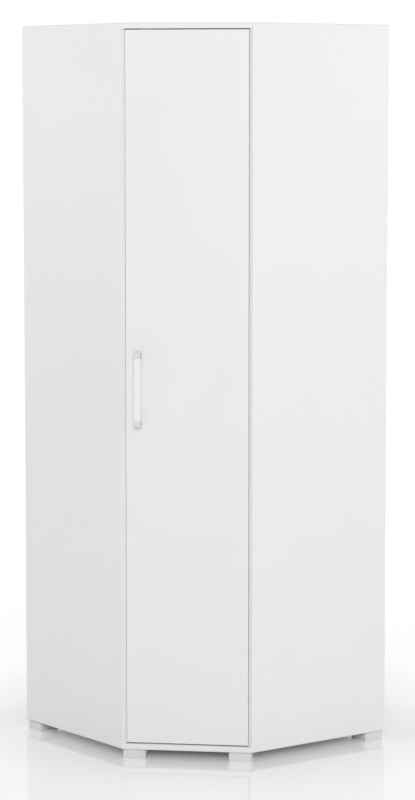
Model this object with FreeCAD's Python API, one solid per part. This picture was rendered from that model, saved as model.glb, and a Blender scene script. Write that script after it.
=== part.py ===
import FreeCAD, Part
import math
import os
from collections import defaultdict

# Corner wardrobe for a right-angled room corner, with one door set into its diagonal front.
# Millimetres, +Z up, the front faces -Y, the floor is Z = 0.

# Carcass
FRONT_WIDTH = 367.0        # diagonal front, outer corner to outer corner
SIDE_DEPTH = 485.5         # each side, from the front corner to the wall
CARCASS_HEIGHT = 2025.0    # underside of the bottom panel to the top
BOARD = 16.0               # melamine-faced chipboard
BACK = 3.0                 # hardboard backs
EDGING = 2.0               # plastic edge strips
EDGING_ROUND = 1.5
DOOR_SIDE_ROUND = 0.5      # on the strips of the side panels, where they meet the door
RIM_EDGING = 3.6           # thicker strips round top and bottom
RIM_ROUND = 3.3            # on the outer edges of these
POST_WIDTH = 100.0         # rear corner post, across its room side

# Door
DOOR_RECESS = 8.0          # door face behind the line of the front corners
DOOR_GAP_TOP = 2.5
DOOR_GAP_BOTTOM = 3.0
DOOR_GAP_FREE = 0.6
DOOR_GAP_HINGE = 0.6

# Feet
FOOT_HEIGHT = 25.0
FOOT_SIZE = 64.0
FOOT_INSET = 2.0
FOOT_NECK_HEIGHT = 3.0     # recessed neck that leaves a shadow line under the carcass
FOOT_NECK_INSET = 3.0
FOOT_ROUND = 2.5
FOOT_COUNTERBORE_RADIUS = 6.5
FOOT_WEB = 10.0            # material left between screw head and carcass

# Handle
HANDLE_PITCH = 192.0       # screw to screw
HANDLE_FROM_EDGE = 36.0    # handle centre line from the free edge of the door
HANDLE_MID_HEIGHT = 1043.0
HANDLE_PROJECTION = 30.0
HANDLE_BAR_WIDTH = 18.0
HANDLE_BAR_DEPTH = 9.0
HANDLE_BAR_ROUND = 2.5
HANDLE_BLOCK_WIDTH = 18.0
HANDLE_BLOCK_HEIGHT = 17.0
HANDLE_BLOCK_ROUND = 1.2
HANDLE_TENON = 5.0         # bar end let into the block
HANDLE_TENON_INSET = 2.5
HANDLE_THREAD_DEPTH = 12.0
HANDLE_SCREW_RADIUS = 2.0

# Shelves and clothes rail
SHELF_SETBACK = 40.0       # shelf front behind the line of the front corners
HAT_SHELF_DROP = 300.0     # clear height above the hat shelf
LOWER_SHELF_RISE = 300.0   # clear height below the lower shelf
LOOSE_SHELF_GAP = 1.0      # play around the lower shelf
RAIL_FROM_FRONT = 300.0
RAIL_SIDE_GAP = 151.0      # rail end to the side panel, along the rail
RAIL_HEIGHT = 30.0
RAIL_THICKNESS = 15.0
RAIL_WALL = 1.2
RAIL_DROP = 45.0           # shelf underside to the top of the rail
RAIL_BRACKET_FROM_END = 45.0
RAIL_BRACKET_WIDTH = 14.0
RAIL_BRACKET_RIM = 3.0
RAIL_BRACKET_FOOT = 52.0
RAIL_BRACKET_PLATE = 3.0
RAIL_CAP_FACE = 2.0
RAIL_CAP_PLUG = 10.0
RAIL_CAP_RIM = 1.0

# Hinges: steel cups let into the door, each with one pin and a goose-neck arm
HINGE_COUNT = 4
HINGE_FROM_END = 100.0     # first and last hinge from the ends of the door
AXIS_FROM_EDGE = 20.0
AXIS_FROM_FACE = 7.5       # behind the front face of the door
CUP_RADIUS = 17.5
CUP_FROM_EDGE = 5.0        # rim of the cup to the edge of the door
CUP_WALL = 1.0
CUP_FLANGE = 1.2
CUP_FLANGE_RIM = 2.0
CUP_FLANGE_WIDTH = 20.0
CUP_SCREW_PITCH = 48.0
CUP_FLANGE_TAB = 8.0
PIN_RADIUS = 1.75
KNUCKLE_WALL = 1.3
KNUCKLE_FLOOR_GAP = 0.6
ARM_THICKNESS = 2.5
ARM_WIDTH = 14.0
ARM_EXIT_ANGLE = 145.0     # direction in which the arm leaves the cup
ARM_SWEEP_GAP = 2.5        # arm clear of the door edge as it swings past
ARM_FOOT_LENGTH = 46.0
PLATE_HEIGHT = 8.0
PLATE_LENGTH = 44.0
PLATE_WIDTH = 13.0
WING_LENGTH = 14.0
WING_THICKNESS = 2.5
WING_SCREW_PITCH = 32.0
WING_TAB = 7.0

# Catches
CATCH_LENGTH = 44.0
CATCH_DEPTH = 14.0
CATCH_HEIGHT = 15.0
CATCH_FROM_FREE_EDGE = 60.0
CATCH_SCREW_PITCH = 28.0
STRIKE_LENGTH = 36.0
STRIKE_HEIGHT = 12.0
STRIKE_THICKNESS = 1.5

# Fittings
CAM_RADIUS = 7.5
CAM_DEPTH = 12.5
CAM_SETBACK = 34.0         # cam centre from the joint
CAM_COVER_RADIUS = 8.5
CAM_COVER_THICKNESS = 1.2
BOLT_RADIUS = 3.5
BOLT_THREAD_RADIUS = 2.5
BOLT_THREAD_LENGTH = 11.0
DOWEL_RADIUS = 4.0
DOWEL_LENGTH = 30.0
DOWEL_END_CLEARANCE = 1.0
DOWEL_OFFSET = 32.0        # dowel beside each cam fitting
FITTING_FROM_FRONT = 100.0
FITTING_FROM_WALL = 90.0
SHELF_PIN_RADIUS = 2.5
SHELF_PIN_DEPTH = 9.0
SHELF_PIN_REACH = 9.0
SHELF_PIN_TAB = 3.0
SHELF_PIN_TAB_WIDTH = 10.0
SHELF_HOLE_PITCH = 32.0    # spare pin holes above and below the lower shelf
SHELF_HOLE_SPARES = 2
NAIL_RADIUS = 0.8
NAIL_LENGTH = 22.0
NAIL_HEAD_RADIUS = 2.6
NAIL_HEAD = 0.8
NAIL_PITCH = 200.0
NAIL_FROM_END = 60.0
SCREW_RADIUS = 1.75
SCREW_HEAD_RADIUS = 3.6
SCREW_HEAD = 2.2
SCREW_LENGTH = 12.0
BRACKET_LEG = 40.0         # wall bracket under the top panel
BRACKET_WIDTH = 30.0
BRACKET_STEEL = 2.0
BRACKET_HOLE_RADIUS = 2.75
BRACKET_HOLE_DROP = 25.0
BRACKET_FROM_CORNER = 340.0

# Clearances
RUNNING_CLEARANCE = 0.08   # pin in the hinge knuckle
SLIP_CLEARANCE = 0.10      # parts pushed into a hole
TOUCH_CLEARANCE = 0.02     # screwed or driven parts in their holes
REST_CLEARANCE = 0.30      # door and catch when shut

# Derived places
DIAGONAL = math.sqrt(0.5)
UP = FreeCAD.Vector(0, 0, 1)
TO_BACK = FreeCAD.Vector(0, 1, 0)
LEFT = -1
RIGHT = 1
SIDES = {"left": LEFT, "right": RIGHT}
DEPTH = FRONT_WIDTH / 2 + 2 * SIDE_DEPTH * DIAGONAL
HANDLE_PROUD = HANDLE_PROJECTION - DOOR_RECESS
Y_FRONT = (HANDLE_PROUD - DEPTH) / 2
WALL_LENGTH = SIDE_DEPTH + FRONT_WIDTH * DIAGONAL
BOARD_DEPTH = SIDE_DEPTH - BACK
Z_BOTTOM = FOOT_HEIGHT
Z_FLOOR = Z_BOTTOM + BOARD
Z_CEILING = Z_BOTTOM + CARCASS_HEIGHT - BOARD
Z_TOP = Z_BOTTOM + CARCASS_HEIGHT
INNER_CORNER_X = FRONT_WIDTH / 2 - BOARD * DIAGONAL
DOOR_LEFT = -INNER_CORNER_X + DOOR_GAP_FREE
DOOR_RIGHT = INNER_CORNER_X - DOOR_GAP_HINGE
DOOR_FACE = Y_FRONT + DOOR_RECESS
DOOR_BACK = DOOR_FACE + BOARD
DOOR_BOTTOM = Z_FLOOR + DOOR_GAP_BOTTOM
DOOR_TOP = Z_CEILING - DOOR_GAP_TOP
AXIS_X = DOOR_RIGHT - AXIS_FROM_EDGE
AXIS_Y = DOOR_FACE + AXIS_FROM_FACE
KNUCKLE_RADIUS = PIN_RADIUS + RUNNING_CLEARANCE + KNUCKLE_WALL
CUP_X = DOOR_RIGHT - CUP_FROM_EDGE - CUP_RADIUS
CUP_DEPTH = BOARD - AXIS_FROM_FACE + KNUCKLE_RADIUS + KNUCKLE_FLOOR_GAP + CUP_WALL
HINGE_SPAN = DOOR_TOP - DOOR_BOTTOM - 2 * HINGE_FROM_END
HINGE_LEVELS = [DOOR_BOTTOM + HINGE_FROM_END + HINGE_SPAN * i / (HINGE_COUNT - 1)
                for i in range(HINGE_COUNT)]
HAT_SHELF_Z = Z_CEILING - HAT_SHELF_DROP - BOARD
LOWER_SHELF_Z = Z_FLOOR + LOWER_SHELF_RISE
INNER_BACK_Y = Y_FRONT + DEPTH - BACK / DIAGONAL
POST_FRONT_Y = INNER_BACK_Y - POST_WIDTH / 2
FITTING_PLACES = [FITTING_FROM_FRONT, BOARD_DEPTH - FITTING_FROM_WALL]
RAIL_LENGTH = 2 * (FRONT_WIDTH / 2 - BOARD / DIAGONAL + RAIL_FROM_FRONT - RAIL_SIDE_GAP)
CATCH_X = DOOR_LEFT + CATCH_FROM_FREE_EDGE
STRIKE_BACK = DOOR_BACK + STRIKE_THICKNESS
HANDLE_X = DOOR_LEFT + HANDLE_FROM_EDGE

pieces = {}
tools = defaultdict(list)


def along(side):
    """Direction from the front corner to the wall on one side."""
    return FreeCAD.Vector(side * DIAGONAL, DIAGONAL, 0)


def inward(side):
    """Direction from the outer face of a side panel into the wardrobe."""
    return FreeCAD.Vector(-side * DIAGONAL, DIAGONAL, 0)


def side_point(side, distance, depth, z=0.0):
    """Point given along a side panel, and in from its outer face."""
    corner = FreeCAD.Vector(side * FRONT_WIDTH / 2, Y_FRONT, z)
    return corner + along(side) * distance + inward(side) * depth


def prism(points, z_low, z_high):
    """Upright solid on a plan outline."""
    base = [FreeCAD.Vector(p.x, p.y, z_low) for p in points]
    face = Part.Face(Part.makePolygon(base + [base[0]]))
    return face.extrude(UP * (z_high - z_low))


def block(x_range, y_range, z_range):
    """Upright rectangular solid."""
    corner = FreeCAD.Vector(x_range[0], y_range[0], z_range[0])
    size = (x_range[1] - x_range[0], y_range[1] - y_range[0], z_range[1] - z_range[0])
    return Part.makeBox(*size, corner)


def side_block(side, distances, depths, z_range):
    """Upright rectangular solid lined up with a side panel."""
    outline = [side_point(side, distances[0], depths[0]), side_point(side, distances[1], depths[0]),
               side_point(side, distances[1], depths[1]), side_point(side, distances[0], depths[1])]
    return prism(outline, *z_range)


def cylinder(radius, length, base, direction):
    return Part.makeCylinder(radius, length, base, direction)


def fuse(shapes):
    return shapes[0].fuse(shapes[1:]).removeSplitter()


def round_edges(solid, radius, wanted):
    """Round the edges for which wanted(edge) holds."""
    return solid.makeFillet(radius, [edge for edge in solid.Edges if wanted(edge)])


def is_upright(edge):
    first, last = edge.Vertexes[0].Point, edge.Vertexes[-1].Point
    return abs(first.x - last.x) < 0.001 and abs(first.y - last.y) < 0.001


def drill(nodes, radius, length, base, direction):
    """Note a hole to be cut in each of these boards."""
    for node in nodes:
        tools[node].append(cylinder(radius, length, base, direction))


def finish(node, solid):
    """Cut the noted holes and keep the board."""
    holes = tools[node]
    pieces[node] = solid.cut(holes) if holes else solid


def group(node, solids):
    pieces[node] = Part.makeCompound(solids)


def wood_screw(seat, direction, length=SCREW_LENGTH):
    """Pan-head screw with a slot cross; the seat is where the head bears."""
    head = cylinder(SCREW_HEAD_RADIUS, SCREW_HEAD, seat, direction * -1)
    head = round_edges(head, SCREW_HEAD / 2,
                       lambda edge: (edge.CenterOfMass - seat).dot(direction) < -SCREW_HEAD / 2
                       and len(edge.Vertexes) == 1)
    across = direction.cross(UP)
    if across.Length < 0.5:
        across = FreeCAD.Vector(1, 0, 0)
    recess = cross_recess(seat - direction * SCREW_HEAD, direction, across)
    return head.cut(recess).fuse(cylinder(SCREW_RADIUS, length, seat, direction)).removeSplitter()


def cross_recess(top, direction, across):
    """Crossed slots cut into a screw head."""
    other = direction.cross(across)
    half = SCREW_HEAD_RADIUS * 0.6
    thin = SCREW_HEAD_RADIUS * 0.12
    deep = direction * (SCREW_HEAD * 0.6)
    slots = []
    for long_way, short_way in ((across, other), (other, across)):
        corners = [top + long_way * i * half + short_way * j * thin
                   for i, j in ((-1, -1), (1, -1), (1, 1), (-1, 1))]
        slots.append(Part.Face(Part.makePolygon(corners + [corners[0]])).extrude(deep))
    return slots


def oval(width, height, length, centre):
    """Flat-sided oval bar along X, standing on its narrow side."""
    radius = width / 2
    straight = height / 2 - radius
    low = cylinder(radius, length, centre - UP * straight, FreeCAD.Vector(1, 0, 0))
    high = cylinder(radius, length, centre + UP * straight, FreeCAD.Vector(1, 0, 0))
    core = block((centre.x, centre.x + length), (centre.y - radius, centre.y + radius),
                 (centre.z - straight, centre.z + straight))
    return fuse([low, high, core])


def carcass_outline(inset):
    """Five-sided plan of top and bottom, with the room-side edges moved in."""
    mitre = inset * (1 / DIAGONAL - 1)
    return [side_point(LEFT, mitre, inset), side_point(RIGHT, mitre, inset),
            side_point(RIGHT, BOARD_DEPTH, inset),
            FreeCAD.Vector(0, INNER_BACK_Y, 0),
            side_point(LEFT, BOARD_DEPTH, inset)]


def edging_strip(outer, inner, z_range, rounds):
    """Edge strip between an outer and an inner line; rounds maps a height to its edge radius."""
    strip = prism([outer[0], outer[1], inner[1], inner[0]], *z_range)
    run = (outer[1] - outer[0]).normalize()
    facing = FreeCAD.Vector(run.y, -run.x, 0)
    for z, radius in rounds.items():
        strip = round_edges(strip, radius,
                            lambda edge: abs(edge.CenterOfMass.z - z) < 0.001
                            and abs((edge.CenterOfMass - outer[0]).dot(facing)) < 0.001
                            and edge.Length > RIM_EDGING * 2)
    return strip


def carcass_edging(z_low, z_open, z_joint):
    """Three mitred strips round the room side of the top or the bottom.

    The edge at z_open is rounded all round. The one at z_joint meets the side panels squarely
    and is rounded only over the door.
    """
    outer = carcass_outline(0)
    inner = carcass_outline(RIM_EDGING)
    strips = []
    for i, j in ((4, 0), (0, 1), (1, 2)):
        rounds = {z_open: RIM_ROUND}
        if (i, j) == (0, 1):
            rounds[z_joint] = EDGING_ROUND
        strips.append(edging_strip((outer[i], outer[j]), (inner[i], inner[j]),
                                   (z_low, z_low + BOARD), rounds))
    return strips


def cam_joint(panel, receiver, centre, up, face):
    """Cam, bolt and dowel that hold a board end to the next board.

    centre lies in the joint, in the middle of the board; up points into the board that holds
    the cam, and face points out of the side where the cam is let in.
    """
    heart = centre + up * CAM_SETBACK
    top = heart + face * (BOARD / 2)
    drill([panel], CAM_RADIUS + SLIP_CLEARANCE, CAM_DEPTH + SLIP_CLEARANCE, top, face * -1)
    drill([panel], BOLT_RADIUS + SLIP_CLEARANCE, CAM_SETBACK, centre, up)
    drill([receiver], BOLT_THREAD_RADIUS + TOUCH_CLEARANCE, BOLT_THREAD_LENGTH, centre, up * -1)
    shank = cylinder(BOLT_RADIUS, CAM_SETBACK, centre, up)
    thread = cylinder(BOLT_THREAD_RADIUS, BOLT_THREAD_LENGTH, centre, up * -1)
    slot = cylinder(BOLT_RADIUS + SLIP_CLEARANCE, CAM_SETBACK + SLIP_CLEARANCE, centre, up)
    cam = cylinder(CAM_RADIUS, CAM_DEPTH, top, face * -1).cut(slot)
    cover = cylinder(CAM_COVER_RADIUS, CAM_COVER_THICKNESS, top, face)
    return shank.fuse(thread), cam, cover


def dowel_joint(panel, receiver, centre, up):
    """Wood dowel half in each board."""
    half = DOWEL_LENGTH / 2
    hole = DOWEL_RADIUS + SLIP_CLEARANCE
    sunk = half - (DOWEL_LENGTH - BOARD + DOWEL_END_CLEARANCE * 4) / 2
    drill([panel], hole, DOWEL_LENGTH - sunk + DOWEL_END_CLEARANCE, centre, up)
    drill([receiver], hole, sunk + DOWEL_END_CLEARANCE, centre, up * -1)
    return cylinder(DOWEL_RADIUS, DOWEL_LENGTH, centre - up * sunk, up)


def joinery():
    """Fittings between sides, post, hat shelf, top and bottom."""
    bolts, cams, covers, dowels = [], [], [], []

    def join(panel, receiver, centre, up, face, beside):
        bolt, cam, cover = cam_joint(panel, receiver, centre, up, face)
        bolts.append(bolt)
        cams.append(cam)
        covers.append(cover)
        dowels.append(dowel_joint(panel, receiver, centre + beside * DOWEL_OFFSET, up))

    levels = (("bottom_panel", Z_FLOOR, UP), ("top_panel", Z_CEILING, UP * -1))
    for name, side in SIDES.items():
        panel = name + "_side_panel"
        for receiver, z, up in levels:
            for place in FITTING_PLACES:
                centre = side_point(side, place, BOARD / 2, z)
                join(panel, receiver, centre, up, inward(side), along(side) * -1)
        for place in FITTING_PLACES:
            centre = side_point(side, place, BOARD, HAT_SHELF_Z + BOARD / 2)
            join("hat_shelf", panel, centre, inward(side), UP * -1, along(side) * -1)
    for receiver, z, up in levels:
        centre = FreeCAD.Vector(0, POST_FRONT_Y + BOARD / 2, z)
        join("rear_post", receiver, centre, up, TO_BACK * -1, FreeCAD.Vector(0.75, 0, 0))
    group("cam_bolts", bolts)
    group("cam_locks", cams)
    group("cam_covers", covers)
    group("wood_dowels", dowels)


def nail(node, backs, surface, direction):
    """Flat-head nail flush with the back panel."""
    drill(backs, NAIL_HEAD_RADIUS + TOUCH_CLEARANCE, NAIL_HEAD, surface, direction)
    drill(backs + [node], NAIL_RADIUS + TOUCH_CLEARANCE, NAIL_LENGTH, surface, direction)
    head = cylinder(NAIL_HEAD_RADIUS, NAIL_HEAD, surface, direction)
    return head.fuse(cylinder(NAIL_RADIUS, NAIL_LENGTH, surface, direction))


def spread(low, high, pitch):
    """Evenly spaced places from low to high, about a pitch apart."""
    count = max(1, round((high - low) / pitch))
    return [low + (high - low) * i / count for i in range(count + 1)]


def back_nails():
    """Nails through the backs into sides, post, top and bottom."""
    nails = []
    post_middle = WALL_LENGTH - BACK - POST_WIDTH * DIAGONAL + BOARD * DIAGONAL
    for name, side in SIDES.items():
        backs = [name + "_back_panel"]
        into = along(side) * -1
        for z in spread(Z_FLOOR + NAIL_FROM_END, Z_CEILING - NAIL_FROM_END, NAIL_PITCH):
            start = side_point(side, SIDE_DEPTH, BOARD / 2, z)
            nails.append(nail(name + "_side_panel", backs, start, into))
            start = side_point(side, SIDE_DEPTH, post_middle, z)
            nails.append(nail("rear_post", backs, start, into))
        for node, z in (("bottom_panel", Z_BOTTOM), ("top_panel", Z_CEILING)):
            for depth in spread(NAIL_FROM_END * 2, WALL_LENGTH - NAIL_FROM_END * 2, NAIL_PITCH):
                start = side_point(side, SIDE_DEPTH, depth, z + BOARD / 2)
                nails.append(nail(node, backs, start, into))
    group("back_panel_nails", nails)


def wall_brackets():
    """Angle brackets under the top, for a screw into each wall."""
    brackets, screws = [], []
    depths = (BRACKET_FROM_CORNER - BRACKET_WIDTH / 2, BRACKET_FROM_CORNER + BRACKET_WIDTH / 2)
    for name, side in SIDES.items():
        reach = (BOARD_DEPTH - BRACKET_LEG, BOARD_DEPTH)
        lying = side_block(side, reach, depths, (Z_CEILING - BRACKET_STEEL, Z_CEILING))
        standing = side_block(side, (BOARD_DEPTH - BRACKET_STEEL, BOARD_DEPTH), depths,
                              (Z_CEILING - BRACKET_LEG, Z_CEILING))
        bore_start = side_point(side, SIDE_DEPTH, BRACKET_FROM_CORNER, Z_CEILING - BRACKET_HOLE_DROP)
        bore = cylinder(BRACKET_HOLE_RADIUS, BACK + BRACKET_STEEL, bore_start, along(side) * -1)
        tools[name + "_back_panel"].append(bore)
        seat = side_point(side, BOARD_DEPTH - BRACKET_LEG * 0.6, BRACKET_FROM_CORNER,
                          Z_CEILING - BRACKET_STEEL)
        drill(["top_panel"], SCREW_RADIUS + TOUCH_CLEARANCE, SCREW_LENGTH, seat, UP)
        hole = cylinder(SCREW_RADIUS + TOUCH_CLEARANCE, BRACKET_STEEL, seat, UP)
        brackets.append(fuse([lying, standing]).cut([bore, hole]))
        screws.append(wood_screw(seat, UP))
    group("wall_brackets", brackets)
    group("wall_bracket_screws", screws)


def foot(name, outline_of):
    """Square foot with a recessed neck, held by one screw from below."""
    low = prism(outline_of(0), 0, FOOT_HEIGHT - FOOT_NECK_HEIGHT)
    low = round_edges(low, FOOT_ROUND, is_upright)
    neck = prism(outline_of(FOOT_NECK_INSET), FOOT_HEIGHT - FOOT_NECK_HEIGHT, FOOT_HEIGHT)
    middle = sum(outline_of(0), FreeCAD.Vector()) * 0.25
    recess = FOOT_HEIGHT - FOOT_WEB
    seat = FreeCAD.Vector(middle.x, middle.y, recess)
    length = FOOT_WEB + SCREW_LENGTH
    holes = [cylinder(FOOT_COUNTERBORE_RADIUS, recess, FreeCAD.Vector(middle.x, middle.y, 0), UP),
             cylinder(SCREW_RADIUS + TOUCH_CLEARANCE, length, seat, UP)]
    pieces["foot_" + name] = fuse([low, neck]).cut(holes)
    drill(["bottom_panel"], SCREW_RADIUS + TOUCH_CLEARANCE, length, seat, UP)
    return wood_screw(seat, UP, length)


def feet():
    """Two feet line up with the front, two with the sides and one with the rear corner."""

    def front_outline(side):
        def outline(inset):
            far = side * (FRONT_WIDTH / 2 - FOOT_INSET - inset)
            near = far - side * (FOOT_SIZE - 2 * inset)
            front = Y_FRONT + FOOT_INSET + inset
            back = front + FOOT_SIZE - 2 * inset
            return [FreeCAD.Vector(far, front, 0), FreeCAD.Vector(far, back, 0),
                    FreeCAD.Vector(near, back, 0), FreeCAD.Vector(near, front, 0)]
        return outline

    def wall_outline(side, depth):
        def outline(inset):
            high = BOARD_DEPTH - FOOT_INSET - inset
            low = high - FOOT_SIZE + 2 * inset
            near = depth + inset
            far = depth + FOOT_SIZE - inset
            return [side_point(side, low, near), side_point(side, high, near),
                    side_point(side, high, far), side_point(side, low, far)]
        return outline

    rear_depth = WALL_LENGTH - BACK - FOOT_INSET - FOOT_SIZE
    outlines = {"front_left": front_outline(LEFT), "front_right": front_outline(RIGHT),
                "left": wall_outline(LEFT, FOOT_INSET), "right": wall_outline(RIGHT, FOOT_INSET),
                "rear": wall_outline(RIGHT, rear_depth)}
    group("foot_screws", [foot(name, outline) for name, outline in outlines.items()])


def shelf_outline(front, play):
    """Plan of a shelf between the sides, the backs and the rear post."""
    reach = BOARD + play
    start = (front - Y_FRONT) / DIAGONAL - reach
    post_half = POST_WIDTH / 2 - play * (1 / DIAGONAL - 1)
    post_front = POST_FRONT_Y - play
    return [side_point(LEFT, start, reach), side_point(RIGHT, start, reach),
            side_point(RIGHT, BOARD_DEPTH - play, reach),
            FreeCAD.Vector(post_half, post_front, 0), FreeCAD.Vector(-post_half, post_front, 0),
            side_point(LEFT, BOARD_DEPTH - play, reach)]


def shelf(node, z, play):
    """Shelf with a plastic strip along its front."""
    front = Y_FRONT + SHELF_SETBACK
    outer = shelf_outline(front, play)
    inner = shelf_outline(front + EDGING, play)
    finish(node, prism(inner, z, z + BOARD))
    pieces[node + "_edging"] = edging_strip(outer[:2], inner[:2], (z, z + BOARD),
                                            {z: EDGING_ROUND, z + BOARD: EDGING_ROUND})


def shelf_pins():
    """Supports of the lower shelf: a peg in the side panel and a flat tab."""
    pins = []
    for name, side in SIDES.items():
        for place in FITTING_PLACES:
            tab_z = (LOWER_SHELF_Z - SHELF_PIN_TAB, LOWER_SHELF_Z)
            half = SHELF_PIN_TAB_WIDTH / 2
            tab = side_block(side, (place - half, place + half), (BOARD, BOARD + SHELF_PIN_REACH), tab_z)
            peg_start = side_point(side, place, BOARD, tab_z[0])
            peg = cylinder(SHELF_PIN_RADIUS, SHELF_PIN_DEPTH, peg_start, inward(side) * -1)
            stub = cylinder(SHELF_PIN_RADIUS, SHELF_PIN_REACH, peg_start, inward(side))
            for step in range(-SHELF_HOLE_SPARES, SHELF_HOLE_SPARES + 1):
                drill([name + "_side_panel"], SHELF_PIN_RADIUS + TOUCH_CLEARANCE, SHELF_PIN_DEPTH,
                      peg_start + UP * (SHELF_HOLE_PITCH * step), inward(side) * -1)
            above = side_block(side, (place - half, place + half), (BOARD, BOARD + SHELF_PIN_REACH),
                               (tab_z[1], tab_z[1] + SHELF_PIN_RADIUS))
            pins.append(fuse([peg, stub, tab]).cut(above))
    group("shelf_pins", pins)


def clothes_rail():
    """Oval rail on two drop brackets under the hat shelf, with end caps."""
    y = Y_FRONT + RAIL_FROM_FRONT
    z = HAT_SHELF_Z - RAIL_DROP - RAIL_HEIGHT / 2
    start = FreeCAD.Vector(-RAIL_LENGTH / 2, y, z)
    outside = oval(RAIL_THICKNESS, RAIL_HEIGHT, RAIL_LENGTH, start)
    bore_width = RAIL_THICKNESS - 2 * RAIL_WALL
    bore_height = RAIL_HEIGHT - 2 * RAIL_WALL
    pieces["clothes_rail"] = outside.cut(oval(bore_width, bore_height, RAIL_LENGTH, start))
    brackets, caps, screws = [], [], []
    for side in (LEFT, RIGHT):
        x = side * (RAIL_LENGTH / 2 - RAIL_BRACKET_FROM_END) - RAIL_BRACKET_WIDTH / 2
        centre = FreeCAD.Vector(x, y, z)
        ring = oval(RAIL_THICKNESS + 2 * RAIL_BRACKET_RIM, RAIL_HEIGHT + 2 * RAIL_BRACKET_RIM,
                    RAIL_BRACKET_WIDTH, centre)
        hole = oval(RAIL_THICKNESS + 2 * SLIP_CLEARANCE, RAIL_HEIGHT + 2 * SLIP_CLEARANCE,
                    RAIL_BRACKET_WIDTH, centre)
        width = (x, x + RAIL_BRACKET_WIDTH)
        stem = block(width, (y - RAIL_BRACKET_RIM, y + RAIL_BRACKET_RIM), (z, HAT_SHELF_Z))
        half = RAIL_BRACKET_FOOT / 2
        plate = block(width, (y - half, y + half), (HAT_SHELF_Z - RAIL_BRACKET_PLATE, HAT_SHELF_Z))
        bracket = fuse([ring, stem, plate]).cut(hole)
        for offset in (-1, 1):
            seat = FreeCAD.Vector(x + RAIL_BRACKET_WIDTH / 2, y + offset * half * 0.7,
                                  HAT_SHELF_Z - RAIL_BRACKET_PLATE)
            bracket = bracket.cut(cylinder(SCREW_RADIUS + TOUCH_CLEARANCE, SCREW_LENGTH, seat, UP))
            drill(["hat_shelf"], SCREW_RADIUS + TOUCH_CLEARANCE, SCREW_LENGTH, seat, UP)
            screws.append(wood_screw(seat, UP))
        brackets.append(bracket)
        end = side * RAIL_LENGTH / 2
        face_x = end if side == RIGHT else end - RAIL_CAP_FACE
        plug_x = end - RAIL_CAP_PLUG if side == RIGHT else end
        face = oval(RAIL_THICKNESS + 2 * RAIL_CAP_RIM, RAIL_HEIGHT + 2 * RAIL_CAP_RIM, RAIL_CAP_FACE,
                    FreeCAD.Vector(face_x, y, z))
        plug = oval(bore_width - 2 * SLIP_CLEARANCE, bore_height - 2 * SLIP_CLEARANCE, RAIL_CAP_PLUG,
                    FreeCAD.Vector(plug_x, y, z))
        caps.append(fuse([face, plug]))
    group("rail_brackets", brackets)
    group("rail_end_caps", caps)
    group("rail_bracket_screws", screws)


def hinge_cup(level):
    """Steel cup with a flange on the back of the door, bored for its pin."""
    rim = FreeCAD.Vector(CUP_X, DOOR_BACK, level)
    forward = TO_BACK * -1
    shell = cylinder(CUP_RADIUS, CUP_DEPTH, rim, forward)
    flange = cylinder(CUP_RADIUS + CUP_FLANGE_RIM, CUP_FLANGE, rim, TO_BACK)
    half_height = CUP_SCREW_PITCH / 2 + CUP_FLANGE_TAB
    tab = block((CUP_X - CUP_FLANGE_WIDTH / 2, CUP_X + CUP_FLANGE_WIDTH / 2),
                (DOOR_BACK, DOOR_BACK + CUP_FLANGE), (level - half_height, level + half_height))
    hollow = cylinder(CUP_RADIUS - CUP_WALL, CUP_DEPTH - CUP_WALL + CUP_FLANGE,
                      rim + TO_BACK * CUP_FLANGE, forward)
    pin_hole = cylinder(PIN_RADIUS + TOUCH_CLEARANCE, CUP_RADIUS * 2,
                        FreeCAD.Vector(AXIS_X, AXIS_Y, level - CUP_RADIUS), UP)
    drill(["door_panel"], CUP_RADIUS + SLIP_CLEARANCE, CUP_DEPTH + SLIP_CLEARANCE, rim, forward)
    seats = [rim + TO_BACK * CUP_FLANGE + UP * (CUP_SCREW_PITCH / 2 * end) for end in (-1, 1)]
    holes = [cylinder(SCREW_RADIUS + TOUCH_CLEARANCE, SCREW_LENGTH, seat, forward) for seat in seats]
    tools["door_panel"].extend(holes)
    cup = fuse([shell, flange, tab]).cut([hollow, pin_hole] + holes)
    return cup, [wood_screw(seat, forward) for seat in seats]


def hinge_pin(level):
    """Pin across the cup, held by its wall."""
    offset = AXIS_X - CUP_X
    half = math.sqrt(CUP_RADIUS ** 2 - (abs(offset) + PIN_RADIUS) ** 2)
    return cylinder(PIN_RADIUS, half * 2, FreeCAD.Vector(AXIS_X, AXIS_Y, level - half), UP)


def strip(start, end, z_range):
    """Straight piece of the arm between two plan points."""
    run = (end - start).normalize()
    across = FreeCAD.Vector(-run.y, run.x, 0) * (ARM_THICKNESS / 2)
    return prism([start + across, start - across, end - across, end + across], *z_range)


def panel_offset_point(y, height):
    """Plan point at this Y that stands a height off the right side's inner face."""
    on_face = (y - Y_FRONT) / DIAGONAL - BOARD - height
    return side_point(RIGHT, on_face, BOARD + height)


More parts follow.
